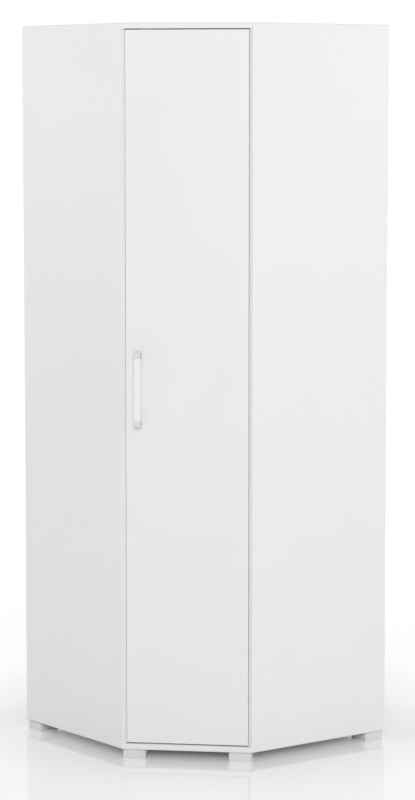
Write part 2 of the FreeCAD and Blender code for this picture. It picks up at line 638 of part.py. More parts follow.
def hinge_arm(level):
    """Goose-neck arm: knuckle, neck round the swinging door edge, and foot on the plate."""
    z_range = (level - ARM_WIDTH / 2, level + ARM_WIDTH / 2)
    pivot = FreeCAD.Vector(AXIS_X, AXIS_Y, 0)
    pivot_low = FreeCAD.Vector(AXIS_X, AXIS_Y, z_range[0])
    corner = math.hypot(AXIS_FROM_EDGE, max(AXIS_FROM_FACE, BOARD - AXIS_FROM_FACE))
    neck = corner + ARM_SWEEP_GAP + ARM_THICKNESS / 2
    exit_way = FreeCAD.Vector(math.cos(math.radians(ARM_EXIT_ANGLE)),
                              math.sin(math.radians(ARM_EXIT_ANGLE)), 0)
    elbow = pivot + exit_way * neck
    crest = pivot + TO_BACK * neck
    bend = panel_offset_point(crest.y, PLATE_HEIGHT + ARM_THICKNESS / 2)
    heel = bend + along(RIGHT) * ARM_FOOT_LENGTH
    ring = Part.makeCylinder(neck + ARM_THICKNESS / 2, ARM_WIDTH, pivot_low, UP, ARM_EXIT_ANGLE - 90)
    ring = ring.cut(cylinder(neck - ARM_THICKNESS / 2, ARM_WIDTH, pivot_low, UP))
    ring.rotate(pivot_low, UP, 90)
    turns = [cylinder(ARM_THICKNESS / 2, ARM_WIDTH, FreeCAD.Vector(p.x, p.y, z_range[0]), UP)
             for p in (elbow, bend)]
    knuckle = cylinder(KNUCKLE_RADIUS, ARM_WIDTH, pivot_low, UP)
    bars = [strip(pivot, elbow, z_range), strip(crest, bend, z_range), strip(bend, heel, z_range)]
    arm = fuse([knuckle, ring] + turns + bars)
    bore = cylinder(PIN_RADIUS + RUNNING_CLEARANCE, ARM_WIDTH, pivot_low, UP)
    start = plate_start()
    seat = side_point(RIGHT, start + PLATE_LENGTH * 0.7, BOARD + PLATE_HEIGHT + ARM_THICKNESS, level)
    into = inward(RIGHT) * -1
    hole = cylinder(SCREW_RADIUS + TOUCH_CLEARANCE, SCREW_LENGTH, seat, into)
    tools["hinge_plates"].append(hole)
    return arm.cut([bore, hole]), wood_screw(seat, into, PLATE_HEIGHT)


def plate_start():
    """Distance of the mounting plates from the front edge of the right side."""
    corner = math.hypot(AXIS_FROM_EDGE, max(AXIS_FROM_FACE, BOARD - AXIS_FROM_FACE))
    crest_y = AXIS_Y + corner + ARM_SWEEP_GAP + ARM_THICKNESS / 2
    bend = panel_offset_point(crest_y, PLATE_HEIGHT + ARM_THICKNESS / 2)
    return (bend - side_point(RIGHT, 0, 0)).dot(along(RIGHT)) + ARM_THICKNESS


def hinge_plate(level):
    """Mounting plate on the right side: a spine for the arm and two screwed wings."""
    start = plate_start()
    spine = side_block(RIGHT, (start, start + PLATE_LENGTH), (BOARD, BOARD + PLATE_HEIGHT),
                       (level - PLATE_WIDTH / 2, level + PLATE_WIDTH / 2))
    middle = start + WING_LENGTH
    half_height = WING_SCREW_PITCH / 2 + WING_TAB
    wings = side_block(RIGHT, (middle - WING_LENGTH / 2, middle + WING_LENGTH / 2),
                       (BOARD, BOARD + WING_THICKNESS), (level - half_height, level + half_height))
    wings = round_edges(wings, WING_TAB / 2,
                        lambda edge: abs((edge.tangentAt(edge.FirstParameter)).dot(inward(RIGHT))) > 0.99)
    into = inward(RIGHT) * -1
    seats = [side_point(RIGHT, middle, BOARD + WING_THICKNESS, level + end * WING_SCREW_PITCH / 2)
             for end in (-1, 1)]
    holes = [cylinder(SCREW_RADIUS + TOUCH_CLEARANCE, SCREW_LENGTH, seat, into) for seat in seats]
    tools["right_side_panel"].extend(holes)
    plate = fuse([spine, wings]).cut(holes + tools["hinge_plates"])
    return plate, [wood_screw(seat, into) for seat in seats]


def hinges():
    pins, cup_screws, arm_screws, plate_screws = [], [], [], []
    for number, level in enumerate(HINGE_LEVELS, 1):
        cup, screws = hinge_cup(level)
        pieces["hinge_cup_%d" % number] = cup
        cup_screws.extend(screws)
        pins.append(hinge_pin(level))
        arm, screw = hinge_arm(level)
        pieces["hinge_arm_%d" % number] = arm
        arm_screws.append(screw)
        plate, screws = hinge_plate(level)
        pieces["hinge_plate_%d" % number] = plate
        plate_screws.extend(screws)
    group("hinge_pins", pins)
    group("hinge_cup_screws", cup_screws)
    group("hinge_plate_screws", plate_screws)
    group("hinge_arm_screws", arm_screws)


def catches():
    """Magnetic catches at the top and bottom, with strike plates on the door."""
    strikes, strike_screws, catch_screws = [], [], []
    forward = TO_BACK * -1
    front = STRIKE_BACK + REST_CLEARANCE
    for name, board, z, up in (("upper", "top_panel", Z_CEILING, -1), ("lower", "bottom_panel", Z_FLOOR, 1)):
        z_range = sorted((z, z + up * CATCH_HEIGHT))
        body = block((CATCH_X - CATCH_LENGTH / 2, CATCH_X + CATCH_LENGTH / 2),
                     (front, front + CATCH_DEPTH), z_range)
        body = round_edges(body, CATCH_DEPTH / 6, is_upright)
        for offset in (-1, 1):
            seat = FreeCAD.Vector(CATCH_X + offset * CATCH_SCREW_PITCH / 2, front + CATCH_DEPTH / 2,
                                  z + up * CATCH_HEIGHT / 2)
            into = UP * -up
            length = CATCH_HEIGHT / 2 + SCREW_LENGTH
            recess = cylinder(SCREW_HEAD_RADIUS + SLIP_CLEARANCE, CATCH_HEIGHT / 2, seat, into * -1)
            hole = cylinder(SCREW_RADIUS + TOUCH_CLEARANCE, length, seat, into)
            body = body.cut([recess, hole])
            tools[board].append(hole)
            catch_screws.append(wood_screw(seat, into, length))
        pieces[name + "_catch"] = body
        middle = z + up * CATCH_HEIGHT / 2
        plate = block((CATCH_X - STRIKE_LENGTH / 2, CATCH_X + STRIKE_LENGTH / 2),
                      (DOOR_BACK, STRIKE_BACK),
                      (middle - STRIKE_HEIGHT / 2 + up * DOOR_GAP_BOTTOM,
                       middle + STRIKE_HEIGHT / 2 + up * DOOR_GAP_BOTTOM))
        pin = cylinder(SCREW_RADIUS, SCREW_LENGTH,
                       FreeCAD.Vector(CATCH_X, DOOR_BACK + STRIKE_THICKNESS / 2, middle + up * DOOR_GAP_BOTTOM),
                       forward)
        drill(["door_panel"], SCREW_RADIUS + TOUCH_CLEARANCE, SCREW_LENGTH,
              FreeCAD.Vector(CATCH_X, DOOR_BACK, middle + up * DOOR_GAP_BOTTOM), forward)
        strikes.append(fuse([plate, pin]))
    group("strike_plates", strikes)
    group("catch_screws", catch_screws)


def handle():
    """Bar held between two end blocks, screwed on from the back of the door."""
    face = DOOR_FACE
    front = face - HANDLE_PROJECTION
    bar_y = (front, front + HANDLE_BAR_DEPTH)
    half_bar = HANDLE_PITCH / 2 - HANDLE_BLOCK_HEIGHT / 2
    bar = block((HANDLE_X - HANDLE_BAR_WIDTH / 2, HANDLE_X + HANDLE_BAR_WIDTH / 2), bar_y,
                (HANDLE_MID_HEIGHT - half_bar, HANDLE_MID_HEIGHT + half_bar))
    bar = round_edges(bar, HANDLE_BAR_ROUND, is_upright)
    tenon_x = (HANDLE_X - HANDLE_BLOCK_WIDTH / 2 + HANDLE_TENON_INSET,
               HANDLE_X + HANDLE_BLOCK_WIDTH / 2 - HANDLE_TENON_INSET)
    tenon_y = (bar_y[0] + HANDLE_TENON_INSET, bar_y[1] - HANDLE_TENON_INSET)
    reach = half_bar + HANDLE_TENON
    tenon = block(tenon_x, tenon_y, (HANDLE_MID_HEIGHT - reach, HANDLE_MID_HEIGHT + reach))
    pieces["handle_bar"] = fuse([bar, tenon])
    mortise = block((tenon_x[0] - TOUCH_CLEARANCE, tenon_x[1] + TOUCH_CLEARANCE),
                    (tenon_y[0] - TOUCH_CLEARANCE, tenon_y[1] + TOUCH_CLEARANCE),
                    (HANDLE_MID_HEIGHT - reach - TOUCH_CLEARANCE,
                     HANDLE_MID_HEIGHT + reach + TOUCH_CLEARANCE))
    screws = []
    for name, end in (("lower", -1), ("upper", 1)):
        z = HANDLE_MID_HEIGHT + end * HANDLE_PITCH / 2
        body = block((HANDLE_X - HANDLE_BLOCK_WIDTH / 2, HANDLE_X + HANDLE_BLOCK_WIDTH / 2),
                     (front, face), (z - HANDLE_BLOCK_HEIGHT / 2, z + HANDLE_BLOCK_HEIGHT / 2))
        body = round_edges(body, HANDLE_BLOCK_ROUND,
                           lambda edge: edge.CenterOfMass.y < front + HANDLE_PROJECTION * 0.75)
        seat = FreeCAD.Vector(HANDLE_X, DOOR_BACK, z)
        forward = TO_BACK * -1
        length = BOARD + HANDLE_THREAD_DEPTH
        hole = cylinder(HANDLE_SCREW_RADIUS + TOUCH_CLEARANCE, length, seat, forward)
        tools["door_panel"].append(hole)
        pieces["handle_block_" + name] = body.cut([mortise, hole])
        head = cylinder(SCREW_HEAD_RADIUS, SCREW_HEAD, seat, TO_BACK)
        head = head.cut(cross_recess(seat + TO_BACK * SCREW_HEAD, forward, FreeCAD.Vector(1, 0, 0)))
        screws.append(head.fuse(cylinder(HANDLE_SCREW_RADIUS, length, seat, forward)).removeSplitter())
    group("handle_screws", screws)


def door():
    """Door board with edge strips on all four sides."""
    y_range = (DOOR_FACE, DOOR_BACK)
    core = block((DOOR_LEFT + EDGING, DOOR_RIGHT - EDGING), y_range,
                 (DOOR_BOTTOM + EDGING, DOOR_TOP - EDGING))
    finish("door_panel", core)
    upright = [block((x, x + EDGING), y_range, (DOOR_BOTTOM, DOOR_TOP))
               for x in (DOOR_LEFT, DOOR_RIGHT - EDGING)]
    level = [block((DOOR_LEFT + EDGING, DOOR_RIGHT - EDGING), y_range, (z, z + EDGING))
             for z in (DOOR_BOTTOM, DOOR_TOP - EDGING)]
    strips = []
    for outer_x, solid in zip((DOOR_LEFT, DOOR_RIGHT), upright):
        strips.append(round_edges(solid, EDGING_ROUND,
                                  lambda edge: is_upright(edge)
                                  and abs(edge.CenterOfMass.x - outer_x) < 0.001))
    for outer_z, solid in zip((DOOR_BOTTOM, DOOR_TOP), level):
        strips.append(round_edges(solid, EDGING_ROUND,
                                  lambda edge: edge.Length > BOARD * 2
                                  and abs(edge.CenterOfMass.z - outer_z) < 0.001))
    group("door_edging", strips)


def side_edging(side):
    """Upright strip on the square-cut front edge of a side panel."""
    solid = side_block(side, (0, EDGING), (0, BOARD), (Z_FLOOR, Z_CEILING))
    for across, radius in ((0, EDGING_ROUND), (BOARD, DOOR_SIDE_ROUND)):
        arris = side_point(side, 0, across)
        solid = round_edges(solid, radius,
                            lambda edge: is_upright(edge)
                            and math.hypot(edge.CenterOfMass.x - arris.x,
                                           edge.CenterOfMass.y - arris.y) < 0.001)
    return solid


def boards():
    """Boards last, once every hole is known."""
    for name, z, z_open, z_joint in (("bottom_panel", Z_BOTTOM, Z_BOTTOM, Z_FLOOR),
                                     ("top_panel", Z_CEILING, Z_TOP, Z_CEILING)):
        finish(name, prism(carcass_outline(RIM_EDGING), z, z + BOARD))
        group(name + "_edging", carcass_edging(z, z_open, z_joint))
    for name, side in SIDES.items():
        core = side_block(side, (EDGING, BOARD_DEPTH), (0, BOARD), (Z_FLOOR, Z_CEILING))
        finish(name + "_side_panel", core)
        pieces[name + "_side_edging"] = side_edging(side)
        end = WALL_LENGTH if side == RIGHT else WALL_LENGTH - BACK
        back = side_block(side, (BOARD_DEPTH, SIDE_DEPTH), (0, end), (Z_BOTTOM, Z_TOP))
        finish(name + "_back_panel", back)
    half = POST_WIDTH / 2
    rear = half - BOARD
    post = prism([FreeCAD.Vector(-half, POST_FRONT_Y, 0), FreeCAD.Vector(half, POST_FRONT_Y, 0),
                  FreeCAD.Vector(rear, POST_FRONT_Y + BOARD, 0),
                  FreeCAD.Vector(-rear, POST_FRONT_Y + BOARD, 0)], Z_FLOOR, Z_CEILING)
    finish("rear_post", post)
    shelf("hat_shelf", HAT_SHELF_Z, 0.0)
    shelf("lower_shelf", LOWER_SHELF_Z, LOOSE_SHELF_GAP)


joinery()
back_nails()
wall_brackets()
feet()
shelf_pins()
clothes_rail()
hinges()
catches()
handle()
boards()
door()

os.makedirs("parts", exist_ok=True)
for node, shape in pieces.items():
    shape.exportStep("parts/%s.step" % node)
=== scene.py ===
"""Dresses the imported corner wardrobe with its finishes, turned fittings, light and camera."""

import math

import bmesh
import bpy
import numpy as np
from bpy.props import FloatProperty, FloatVectorProperty, IntProperty, PointerProperty
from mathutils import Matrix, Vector


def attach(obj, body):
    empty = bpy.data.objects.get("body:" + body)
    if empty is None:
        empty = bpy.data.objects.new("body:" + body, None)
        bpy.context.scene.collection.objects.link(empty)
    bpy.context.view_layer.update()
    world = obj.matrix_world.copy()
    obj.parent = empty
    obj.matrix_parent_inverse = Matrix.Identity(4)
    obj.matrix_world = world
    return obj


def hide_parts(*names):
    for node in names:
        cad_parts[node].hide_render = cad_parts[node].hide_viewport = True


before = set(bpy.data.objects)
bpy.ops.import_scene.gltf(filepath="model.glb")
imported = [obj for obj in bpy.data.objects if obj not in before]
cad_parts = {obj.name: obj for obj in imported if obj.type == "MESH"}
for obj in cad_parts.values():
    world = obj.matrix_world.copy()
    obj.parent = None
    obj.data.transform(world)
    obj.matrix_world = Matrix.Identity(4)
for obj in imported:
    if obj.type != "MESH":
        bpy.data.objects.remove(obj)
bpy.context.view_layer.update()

bl_info = {
    "name": "Corner wardrobe",
    "version": (1, 0, 0),
    "blender": (4, 5, 0),
    "location": "3D View > Sidebar > Wardrobe",
    "description": "Finishes, fittings, light and camera for a white corner wardrobe",
    "category": "Object",
}

MM = 0.001
DIAGONAL = math.sqrt(0.5)
MERGE_DISTANCE = 0.02 * MM
SMOOTH_ANGLE = math.radians(35)
WHITE = (1.0, 1.0, 1.0, 1.0)

# Kinds of sockets.
VECTOR = "NodeSocketVector"
NUMBER = "NodeSocketFloat"
SHAPE = "NodeSocketGeometry"

# Sockets of the mix node that hold colours; sockets of other kinds share their names.
MIX_FACTOR = 0
MIX_FIRST = 6
MIX_SECOND = 7
MIX_RESULT = 2

# Grains and chips, and how far a face has to lean to count as a raw end or a wall side.
GRIT_RATE = 2.7
GRIT_HEIGHT = 0.35
CLOUD_RANGE = (0.3, 0.7)
CLOUD_DETAIL = 4.0
LINE_DETAIL = 3.0
FIBRE_RANGE = (0.35, 0.65)
CHIP_SIZE = 1.6 * MM
DARK_CHIP = 0.62
CORE_LEAN = 0.5
WALL_LEAN = 1.2

# Turned fittings: shares of the rows and of the length, then lengths, then a share of the head.
HEAD_ROWS = 0.25
END_SHARE = 0.1
HEAD_MARGIN = 0.001 * MM
SCREW_NECK = 1 * MM
BOLT_NECK = 0.5 * MM
RECESS_DEPTH = 0.6
OUTWARD = "outward"
TURNED_SIZES = [
    "Length", "Head Radius", "Head Height", "Shank Radius", "Smooth Length", "Ripple Rate",
    "Ripple Starts", "Ripple Depth", "Tip Length", "Tip Radius", "Rim",
    "Slot Reach", "Slot Width", "Slot Depth"]

# Directions in which the fittings and boards of this wardrobe can point.
MAIN_DIRECTIONS = [
    Vector((1, 0, 0)),
    Vector((0, 1, 0)),
    Vector((0, 0, 1)),
    Vector((DIAGONAL, DIAGONAL, 0)),
    Vector((DIAGONAL, -DIAGONAL, 0)),
]

# Softboxes round the wardrobe, and those that glossy surfaces mirror.
SOFTBOXES = ("left", "right", "front", "back")
MIRRORED_SOFTBOXES = ("left", "right", "front")

# Sides of the floor plan: front, left and right, then the two walls.
PLAN_SIDES = [
    Vector((0, -1, 0)),
    Vector((-DIAGONAL, -DIAGONAL, 0)),
    Vector((DIAGONAL, -DIAGONAL, 0)),
    Vector((-DIAGONAL, DIAGONAL, 0)),
    Vector((DIAGONAL, DIAGONAL, 0)),
]

# Boards by the direction that their faces look in.
LEVEL_BOARDS = ["bottom_panel", "top_panel", "hat_shelf", "lower_shelf"]
FRONT_BOARDS = ["door_panel", "rear_post"]
LEFT_BOARDS = ["left_side_panel"]
RIGHT_BOARDS = ["right_side_panel"]

EDGINGS = ["bottom_panel_edging", "top_panel_edging", "left_side_edging", "right_side_edging",
           "hat_shelf_edging", "lower_shelf_edging", "door_edging"]
BACKS = ["left_back_panel", "right_back_panel"]
FEET = ["foot_front_left", "foot_front_right", "foot_left", "foot_right", "foot_rear"]
HANDLE_BLOCKS = ["handle_block_lower", "handle_block_upper"]
HINGE_STEEL = (["hinge_arm_%d" % i for i in range(1, 5)]
               + ["hinge_plate_%d" % i for i in range(1, 5)]
               + ["hinge_cup_%d" % i for i in range(1, 5)]
               + ["hinge_pins"])
WHITE_MOULDINGS = ["rail_brackets", "rail_end_caps", "upper_catch", "lower_catch"]
ZINC_PARTS = ["cam_locks", "shelf_pins", "wall_brackets", "strike_plates"]

CARCASS_SCREWS = ["foot_screws", "hinge_plate_screws", "hinge_arm_screws", "catch_screws",
                  "rail_bracket_screws", "wall_bracket_screws"]
DOOR_SCREWS = ["hinge_cup_screws", "handle_screws"]


def colour_setting(name, description, default):
    """A colour that a user can change."""
    return FloatVectorProperty(
        name=name, description=description, subtype="COLOR", size=3, min=0, max=1, default=default)


def length_setting(name, description, default, limits):
    """A length that a user can change, between two limits."""
    return FloatProperty(
        name=name, description=description, unit="LENGTH", precision=5,
        min=limits[0], max=limits[1], default=default)


def share_setting(name, description, default, limits=(0, 1)):
    """A share that a user can change, between two limits."""
    return FloatProperty(
        name=name, description=description, subtype="FACTOR",
        min=limits[0], max=limits[1], default=default)


def power_setting(name, description, default):
    """The power of a lamp."""
    return FloatProperty(
        name=name, description=description, subtype="POWER", min=0, max=1000, default=default)


def place_setting(name, description, default):
    """A point in the room."""
    return FloatVectorProperty(
        name=name, description=description, subtype="TRANSLATION", unit="LENGTH", size=3,
        default=default)


class WardrobeFinishes(bpy.types.PropertyGroup):
    """Colours and surface grain of the boards, plastics and metals."""

    melamine_colour: colour_setting("Melamine", "White of the board faces", (0.86, 0.86, 0.86))
    edging_colour: colour_setting("Edging", "White of the plastic edge strips", (0.86, 0.86, 0.86))
    core_colour: colour_setting(
        "Chipboard core", "Raw chips inside drilled holes and unedged ends", (0.53, 0.38, 0.22))
    hardboard_colour: colour_setting(
        "Hardboard", "Raw fibre on the wall side of the backs", (0.30, 0.18, 0.10))
    foot_colour: colour_setting("Feet", "Silver grey plastic of the feet", (0.77, 0.77, 0.77))
    bar_colour: colour_setting("Handle bar", "White lacquer of the handle bar", (0.89, 0.89, 0.89))
    chrome_colour: colour_setting("Satin chrome", "Metal of the handle blocks", (0.62, 0.62, 0.62))
    nickel_colour: colour_setting("Nickel", "Plated steel of the hinges", (0.62, 0.60, 0.57))
    zinc_colour: colour_setting(
        "Zinc", "Plated steel of screws, nails and cams", (0.58, 0.59, 0.61))
    beech_colour: colour_setting("Beech", "Wood of the dowels", (0.62, 0.44, 0.27))
    pearl_cell: length_setting(
        "Pearl grain", "Cell size of the pressed pearl grain on the boards",
        0.9 * MM, limits=(0.0002, 0.01))
    pearl_height: length_setting(
        "Pearl height", "Depth of the pressed pearl grain", 0.02 * MM, limits=(0, 0.001))


class WardrobeFittings(bpy.types.PropertyGroup):
    """Sizes of threads, flutes and recesses on the turned fittings."""

    screw_pitch: length_setting(
        "Screw pitch", "Thread pitch of the wood screws", 1.6 * MM, limits=(0.0005, 0.005))
    screw_thread: length_setting(
        "Screw thread", "Thread depth of the wood screws", 0.45 * MM, limits=(0, 0.002))
    screw_tip: length_setting("Screw tip", "Length of the pointed tip", 3.0 * MM, limits=(0, 0.01))
    recess_reach: share_setting(
        "Recess reach", "Half length of the cross slots, as a share of the head",
        0.6, limits=(0.1, 0.9))
    recess_width: share_setting(
        "Recess width", "Width of the cross slots, as a share of the head",
        0.26, limits=(0.05, 0.5))
    nail_ring_pitch: length_setting(
        "Nail ring pitch", "Distance between the rings of a nail", 1.6 * MM, limits=(0.0005, 0.005))
    nail_ring_depth: length_setting(
        "Nail ring depth", "Depth of the rings of a nail", 0.15 * MM, limits=(0, 0.001))
    bolt_pitch: length_setting(
        "Bolt pitch", "Thread pitch of the cam bolts", 2.2 * MM, limits=(0.0005, 0.005))
    bolt_thread: length_setting(
        "Bolt thread", "Thread depth of the cam bolts", 0.6 * MM, limits=(0, 0.002))
    dowel_flutes: IntProperty(
        name="Dowel flutes", description="Glue flutes round a dowel",
        min=4, max=24, default=12)
    dowel_flute_depth: length_setting(
        "Flute depth", "Depth of the glue flutes", 0.35 * MM, limits=(0, 0.002))
    dowel_chamfer: length_setting(
        "Dowel chamfer", "Chamfer at both ends of a dowel", 1.2 * MM, limits=(0, 0.004))
    cover_rim: length_setting(
        "Cover rim", "Rounded rim of the cam covers", 0.5 * MM, limits=(0, 0.001))


class WardrobeStage(bpy.types.PropertyGroup):
    """Floor, light and camera."""

    floor_colour: colour_setting(
        "Floor", "Colour of the pale floor round the wardrobe", (0.76, 0.76, 0.76))
    floor_size: length_setting("Floor size", "Side of the square floor", 80, limits=(5, 200))
    floor_roughness: share_setting(
        "Floor roughness", "How blurred the floor mirrors the wardrobe", 0.02)
    far_roughness: share_setting(
        "Far roughness", "How blurred the floor mirrors things far from the wardrobe", 0.45)
    # Seen directly, the floor shows only this share of its shaded colour. The next settings make it
    # glow white under and near the wardrobe. Together this is painted light that weakens the
    # wardrobe's shadow on the floor.
    floor_share: share_setting(
        "Floor share", "Share of its own shaded colour that the floor shows", 0.78)
    under_depth: length_setting(
        "Under depth", "How far under the wardrobe the floor starts to whiten",
        0.157, limits=(0, 1))
    under_shadow_glow: share_setting("Under white", "White that the floor gains up to the outline", 0.206)
    near_reach: length_setting(
        "Near reach", "Distance from the outline over which the floor whitens more",
        0.446, limits=(0, 10))
    near_shadow_glow: share_setting("Near white", "White that the floor gains over that distance", 0.082)
    far_start: length_setting(
        "Far start", "Distance from the outline where the floor starts to fade",
        0.45, limits=(0, 40))
    far_end: length_setting(
        "Far end", "Distance where most of that fade is done", 1.2, limits=(0, 40))
    far_white: share_setting("Far white", "White that the floor gains in between", 0.125)
    horizon_end: length_setting(
        "Horizon", "Distance from the outline where the floor meets the white sky",
        6.0, limits=(0, 40))
    horizon_white: share_setting("Horizon white", "White that the floor gains up to there", 0.15)
    sky_strength: FloatProperty(
        name="Sky", description="Even light from all round", min=0, max=5, default=0.59)
    left_power: power_setting("Left softbox", "Power of the softbox at the left", 29)
    left_place: place_setting(
        "Left softbox place", "Middle of the softbox at the left", (-4.25, 0.54, 2.4))
    right_power: power_setting("Right softbox", "Power of the softbox at the right", 58)
    right_place: place_setting(
        "Right softbox place", "Middle of the softbox at the right", (6.0, 0.6, 2.2))
    front_power: power_setting("Front softbox", "Power of the softbox above the camera", 184)
    front_place: place_setting(
        "Front softbox place", "Middle of the softbox above the camera", (1.15, -7.4, 3.4))
    back_power: power_setting("Back softbox", "Power of the softbox behind the wardrobe", 97)
    back_place: place_setting(
        "Back softbox place", "Middle of the softbox behind the wardrobe", (0.0, 7.4, 3.4))
    softbox_size: length_setting(
        "Softbox size", "Side of the square softboxes", 2.4, limits=(0.1, 10))
    softbox_aim: place_setting("Softbox aim", "Point that the softboxes face", (0.0, 0.0, 1.2))
    camera_place: place_setting(
        "Camera place", "Where the camera stands", (1.1312, -8.1113, 1.8459))
    camera_turn: FloatVectorProperty(
        name="Camera turn", description="How the camera is turned", subtype="EULER", size=3,
        default=(math.radians(83.896), 0.0, math.radians(7.946)))
    focal_length: FloatProperty(
        name="Focal length", description="Lens of the camera, on a 36 mm wide sensor",
        unit="CAMERA", min=10, max=500, default=127.195)


def feed(tree, value, socket):
    """Joins an output to a socket, or writes a plain value on the socket."""
    if isinstance(value, bpy.types.NodeSocket):
        tree.links.new(value, socket)
    else:
        socket.default_value = value


def add_node(tree, kind, inputs=None, **settings):
    """Adds one node to a tree, sets its properties, then feeds its inputs."""
    node = tree.nodes.new(kind)
    for name, value in settings.items():
        setattr(node, name, value)
    for socket, value in (inputs or {}).items():
        feed(tree, value, node.inputs[socket])
    return node


def calculate(tree, operation, *values):
    """One arithmetic node; gives its output."""
    node = add_node(tree, "ShaderNodeMath", dict(enumerate(values)), operation=operation)
    return node.outputs[0]


def remap(tree, value, from_low, from_high, to_low, to_high, smooth=False):
    """A clamped change of range; gives its output."""
    node = add_node(
        tree, "ShaderNodeMapRange",
        {"Value": value, "From Min": from_low, "From Max": from_high,
         "To Min": to_low, "To Max": to_high},
        clamp=True, interpolation_type="SMOOTHSTEP" if smooth else "LINEAR")
    return node.outputs["Result"]


def mix_colours(tree, factor, first, second, blend="MIX"):
    """Blends two colours; gives the result."""
    inputs = {MIX_FACTOR: factor, MIX_FIRST: first, MIX_SECOND: second}
    node = add_node(tree, "ShaderNodeMix", inputs, data_type="RGBA", blend_type=blend)
    return node.outputs[MIX_RESULT]


def opaque(colour, share=1.0):
    """A colour with full alpha, as node sockets hold it; a share makes it darker or paler."""
    return (*(part * share for part in colour), 1.0)


def new_group(name, kind, inputs, outputs):
    """An empty node group with named sockets; gives the tree and its two end nodes."""
    tree = bpy.data.node_groups.new(name, kind)
    for label, socket_type in inputs:
        tree.interface.new_socket(name=label, in_out="INPUT", socket_type=socket_type)
    for label, socket_type in outputs:
        tree.interface.new_socket(name=label, in_out="OUTPUT", socket_type=socket_type)
    return tree, add_node(tree, "NodeGroupInput"), add_node(tree, "NodeGroupOutput")


def build_pearl_grain(tree, given, result):
    """Small rounded cells with finer grit on them."""
    scale = calculate(tree, "DIVIDE", 1.0, given["Cell Size"])
    fine_scale = calculate(tree, "MULTIPLY", scale, GRIT_RATE)
    cells = add_node(tree, "ShaderNodeTexVoronoi", {"Vector": given["Vector"], "Scale": scale},
                     feature="SMOOTH_F1")
    grit = add_node(tree, "ShaderNodeTexNoise", {"Vector": given["Vector"], "Scale": fine_scale})
    rounded = calculate(tree, "SUBTRACT", 1.0, cells.outputs["Distance"])
    gritty = calculate(tree, "MULTIPLY", grit.outputs["Fac"], GRIT_HEIGHT)
    feed(tree, calculate(tree, "ADD", rounded, gritty), result["Height"])


def build_soft_tone(tree, given, result):
    """Cloudy patches."""
    scale = calculate(tree, "DIVIDE", 1.0, given["Patch Size"])
    clouds = add_node(tree, "ShaderNodeTexNoise", {
        "Vector": given["Vector"], "Scale": scale, "Detail": CLOUD_DETAIL})
    mask = remap(tree, clouds.outputs["Fac"], *CLOUD_RANGE, 0.0, 1.0, smooth=True)
    darkest = calculate(tree, "SUBTRACT", 1.0, given["Depth"])
    feed(tree, mask, result["Mask"])
    feed(tree, remap(tree, mask, 0.0, 1.0, darkest, 1.0), result["Tone"])


def build_brushed_lines(tree, given, result):
    """Noise that is stretched into lines."""
    stretched = add_node(tree, "ShaderNodeVectorMath", {0: given["Vector"], 1: given["Stretch"]},
                         operation="MULTIPLY")
    scale = calculate(tree, "DIVIDE", 1.0, given["Line Pitch"])
    lines = add_node(tree, "ShaderNodeTexNoise", {
        "Vector": stretched.outputs["Vector"], "Scale": scale, "Detail": LINE_DETAIL})
    feed(tree, lines.outputs["Fac"], result["Height"])


# Shader groups: what builds each one, its inputs, and the values that it puts out.
SHADER_GROUPS = {
    # Pressed or moulded grain.
    "pearl_grain": (build_pearl_grain, {"Vector": VECTOR, "Cell Size": NUMBER}, ["Height"]),
    # Cloudy change of tone, as a mask and as a factor for a colour.
    "soft_tone": (
        build_soft_tone, {"Vector": VECTOR, "Patch Size": NUMBER, "Depth": NUMBER}, ["Mask", "Tone"]),
    # Drawn or brushed lines; Stretch is small along them.
    "brushed_lines": (
        build_brushed_lines, {"Vector": VECTOR, "Stretch": VECTOR, "Line Pitch": NUMBER}, ["Height"]),
}


def shader_group(name):
    """One of the shader groups, built the first time it is asked for."""
    tree = bpy.data.node_groups.get(name)
    if tree is None:
        build, inputs, outputs = SHADER_GROUPS[name]
        tree, start, end = new_group(
            name, "ShaderNodeTree", inputs.items(), [(label, NUMBER) for label in outputs])
        build(tree, start.outputs, end.inputs)
    return tree


def place_group(tree, group, **values):
    """Puts a shader group in a material, with its own values; gives the node."""
    inputs = {label.replace("_", " "): value for label, value in values.items()}
    return add_node(tree, "ShaderNodeGroup", inputs, node_tree=shader_group(group))


def start_finish(name):
    """A new material with a principled shader; gives material, tree, shader and coordinates."""
    material = bpy.data.materials.new(name)
    material.use_nodes = True
    tree = material.node_tree
    tree.nodes.clear()
    shader = add_node(tree, "ShaderNodeBsdfPrincipled")
    add_node(tree, "ShaderNodeOutputMaterial", {"Surface": shader.outputs["BSDF"]})
    coordinates = add_node(tree, "ShaderNodeTexCoord")
    return material, tree, shader, coordinates


def roughen(tree, shader, mask, low, high):
    """Lets the roughness wander between two values."""
    feed(tree, remap(tree, mask, 0.0, 1.0, low, high), shader.inputs["Roughness"])


def emboss(tree, shader, height, depth):
    """Presses a height into the surface; depth is in metres."""
    bump = add_node(tree, "ShaderNodeBump", {"Strength": 1.0, "Distance": depth, "Height": height})
    feed(tree, bump.outputs["Normal"], shader.inputs["Normal"])


def toned_colour(tree, tone, colour):
    """A colour that follows a tone factor."""
    return mix_colours(tree, 1.0, opaque(colour), tone, blend="MULTIPLY")


def grained_finish(name, colour, cell, height, patch, depth, roughness):
    """White or grey moulded, pressed or lacquered surface; gives material, tree and shader."""
    material, tree, shader, coordinates = start_finish(name)
    place = coordinates.outputs["Object"]
    tone = place_group(tree, "soft_tone", Vector=place, Patch_Size=patch, Depth=depth)
    grain = place_group(tree, "pearl_grain", Vector=place, Cell_Size=cell)
    feed(tree, toned_colour(tree, tone.outputs["Tone"], colour), shader.inputs["Base Color"])
    roughen(tree, shader, tone.outputs["Mask"], *roughness)
    emboss(tree, shader, grain.outputs["Height"], height)
    return material, tree, shader


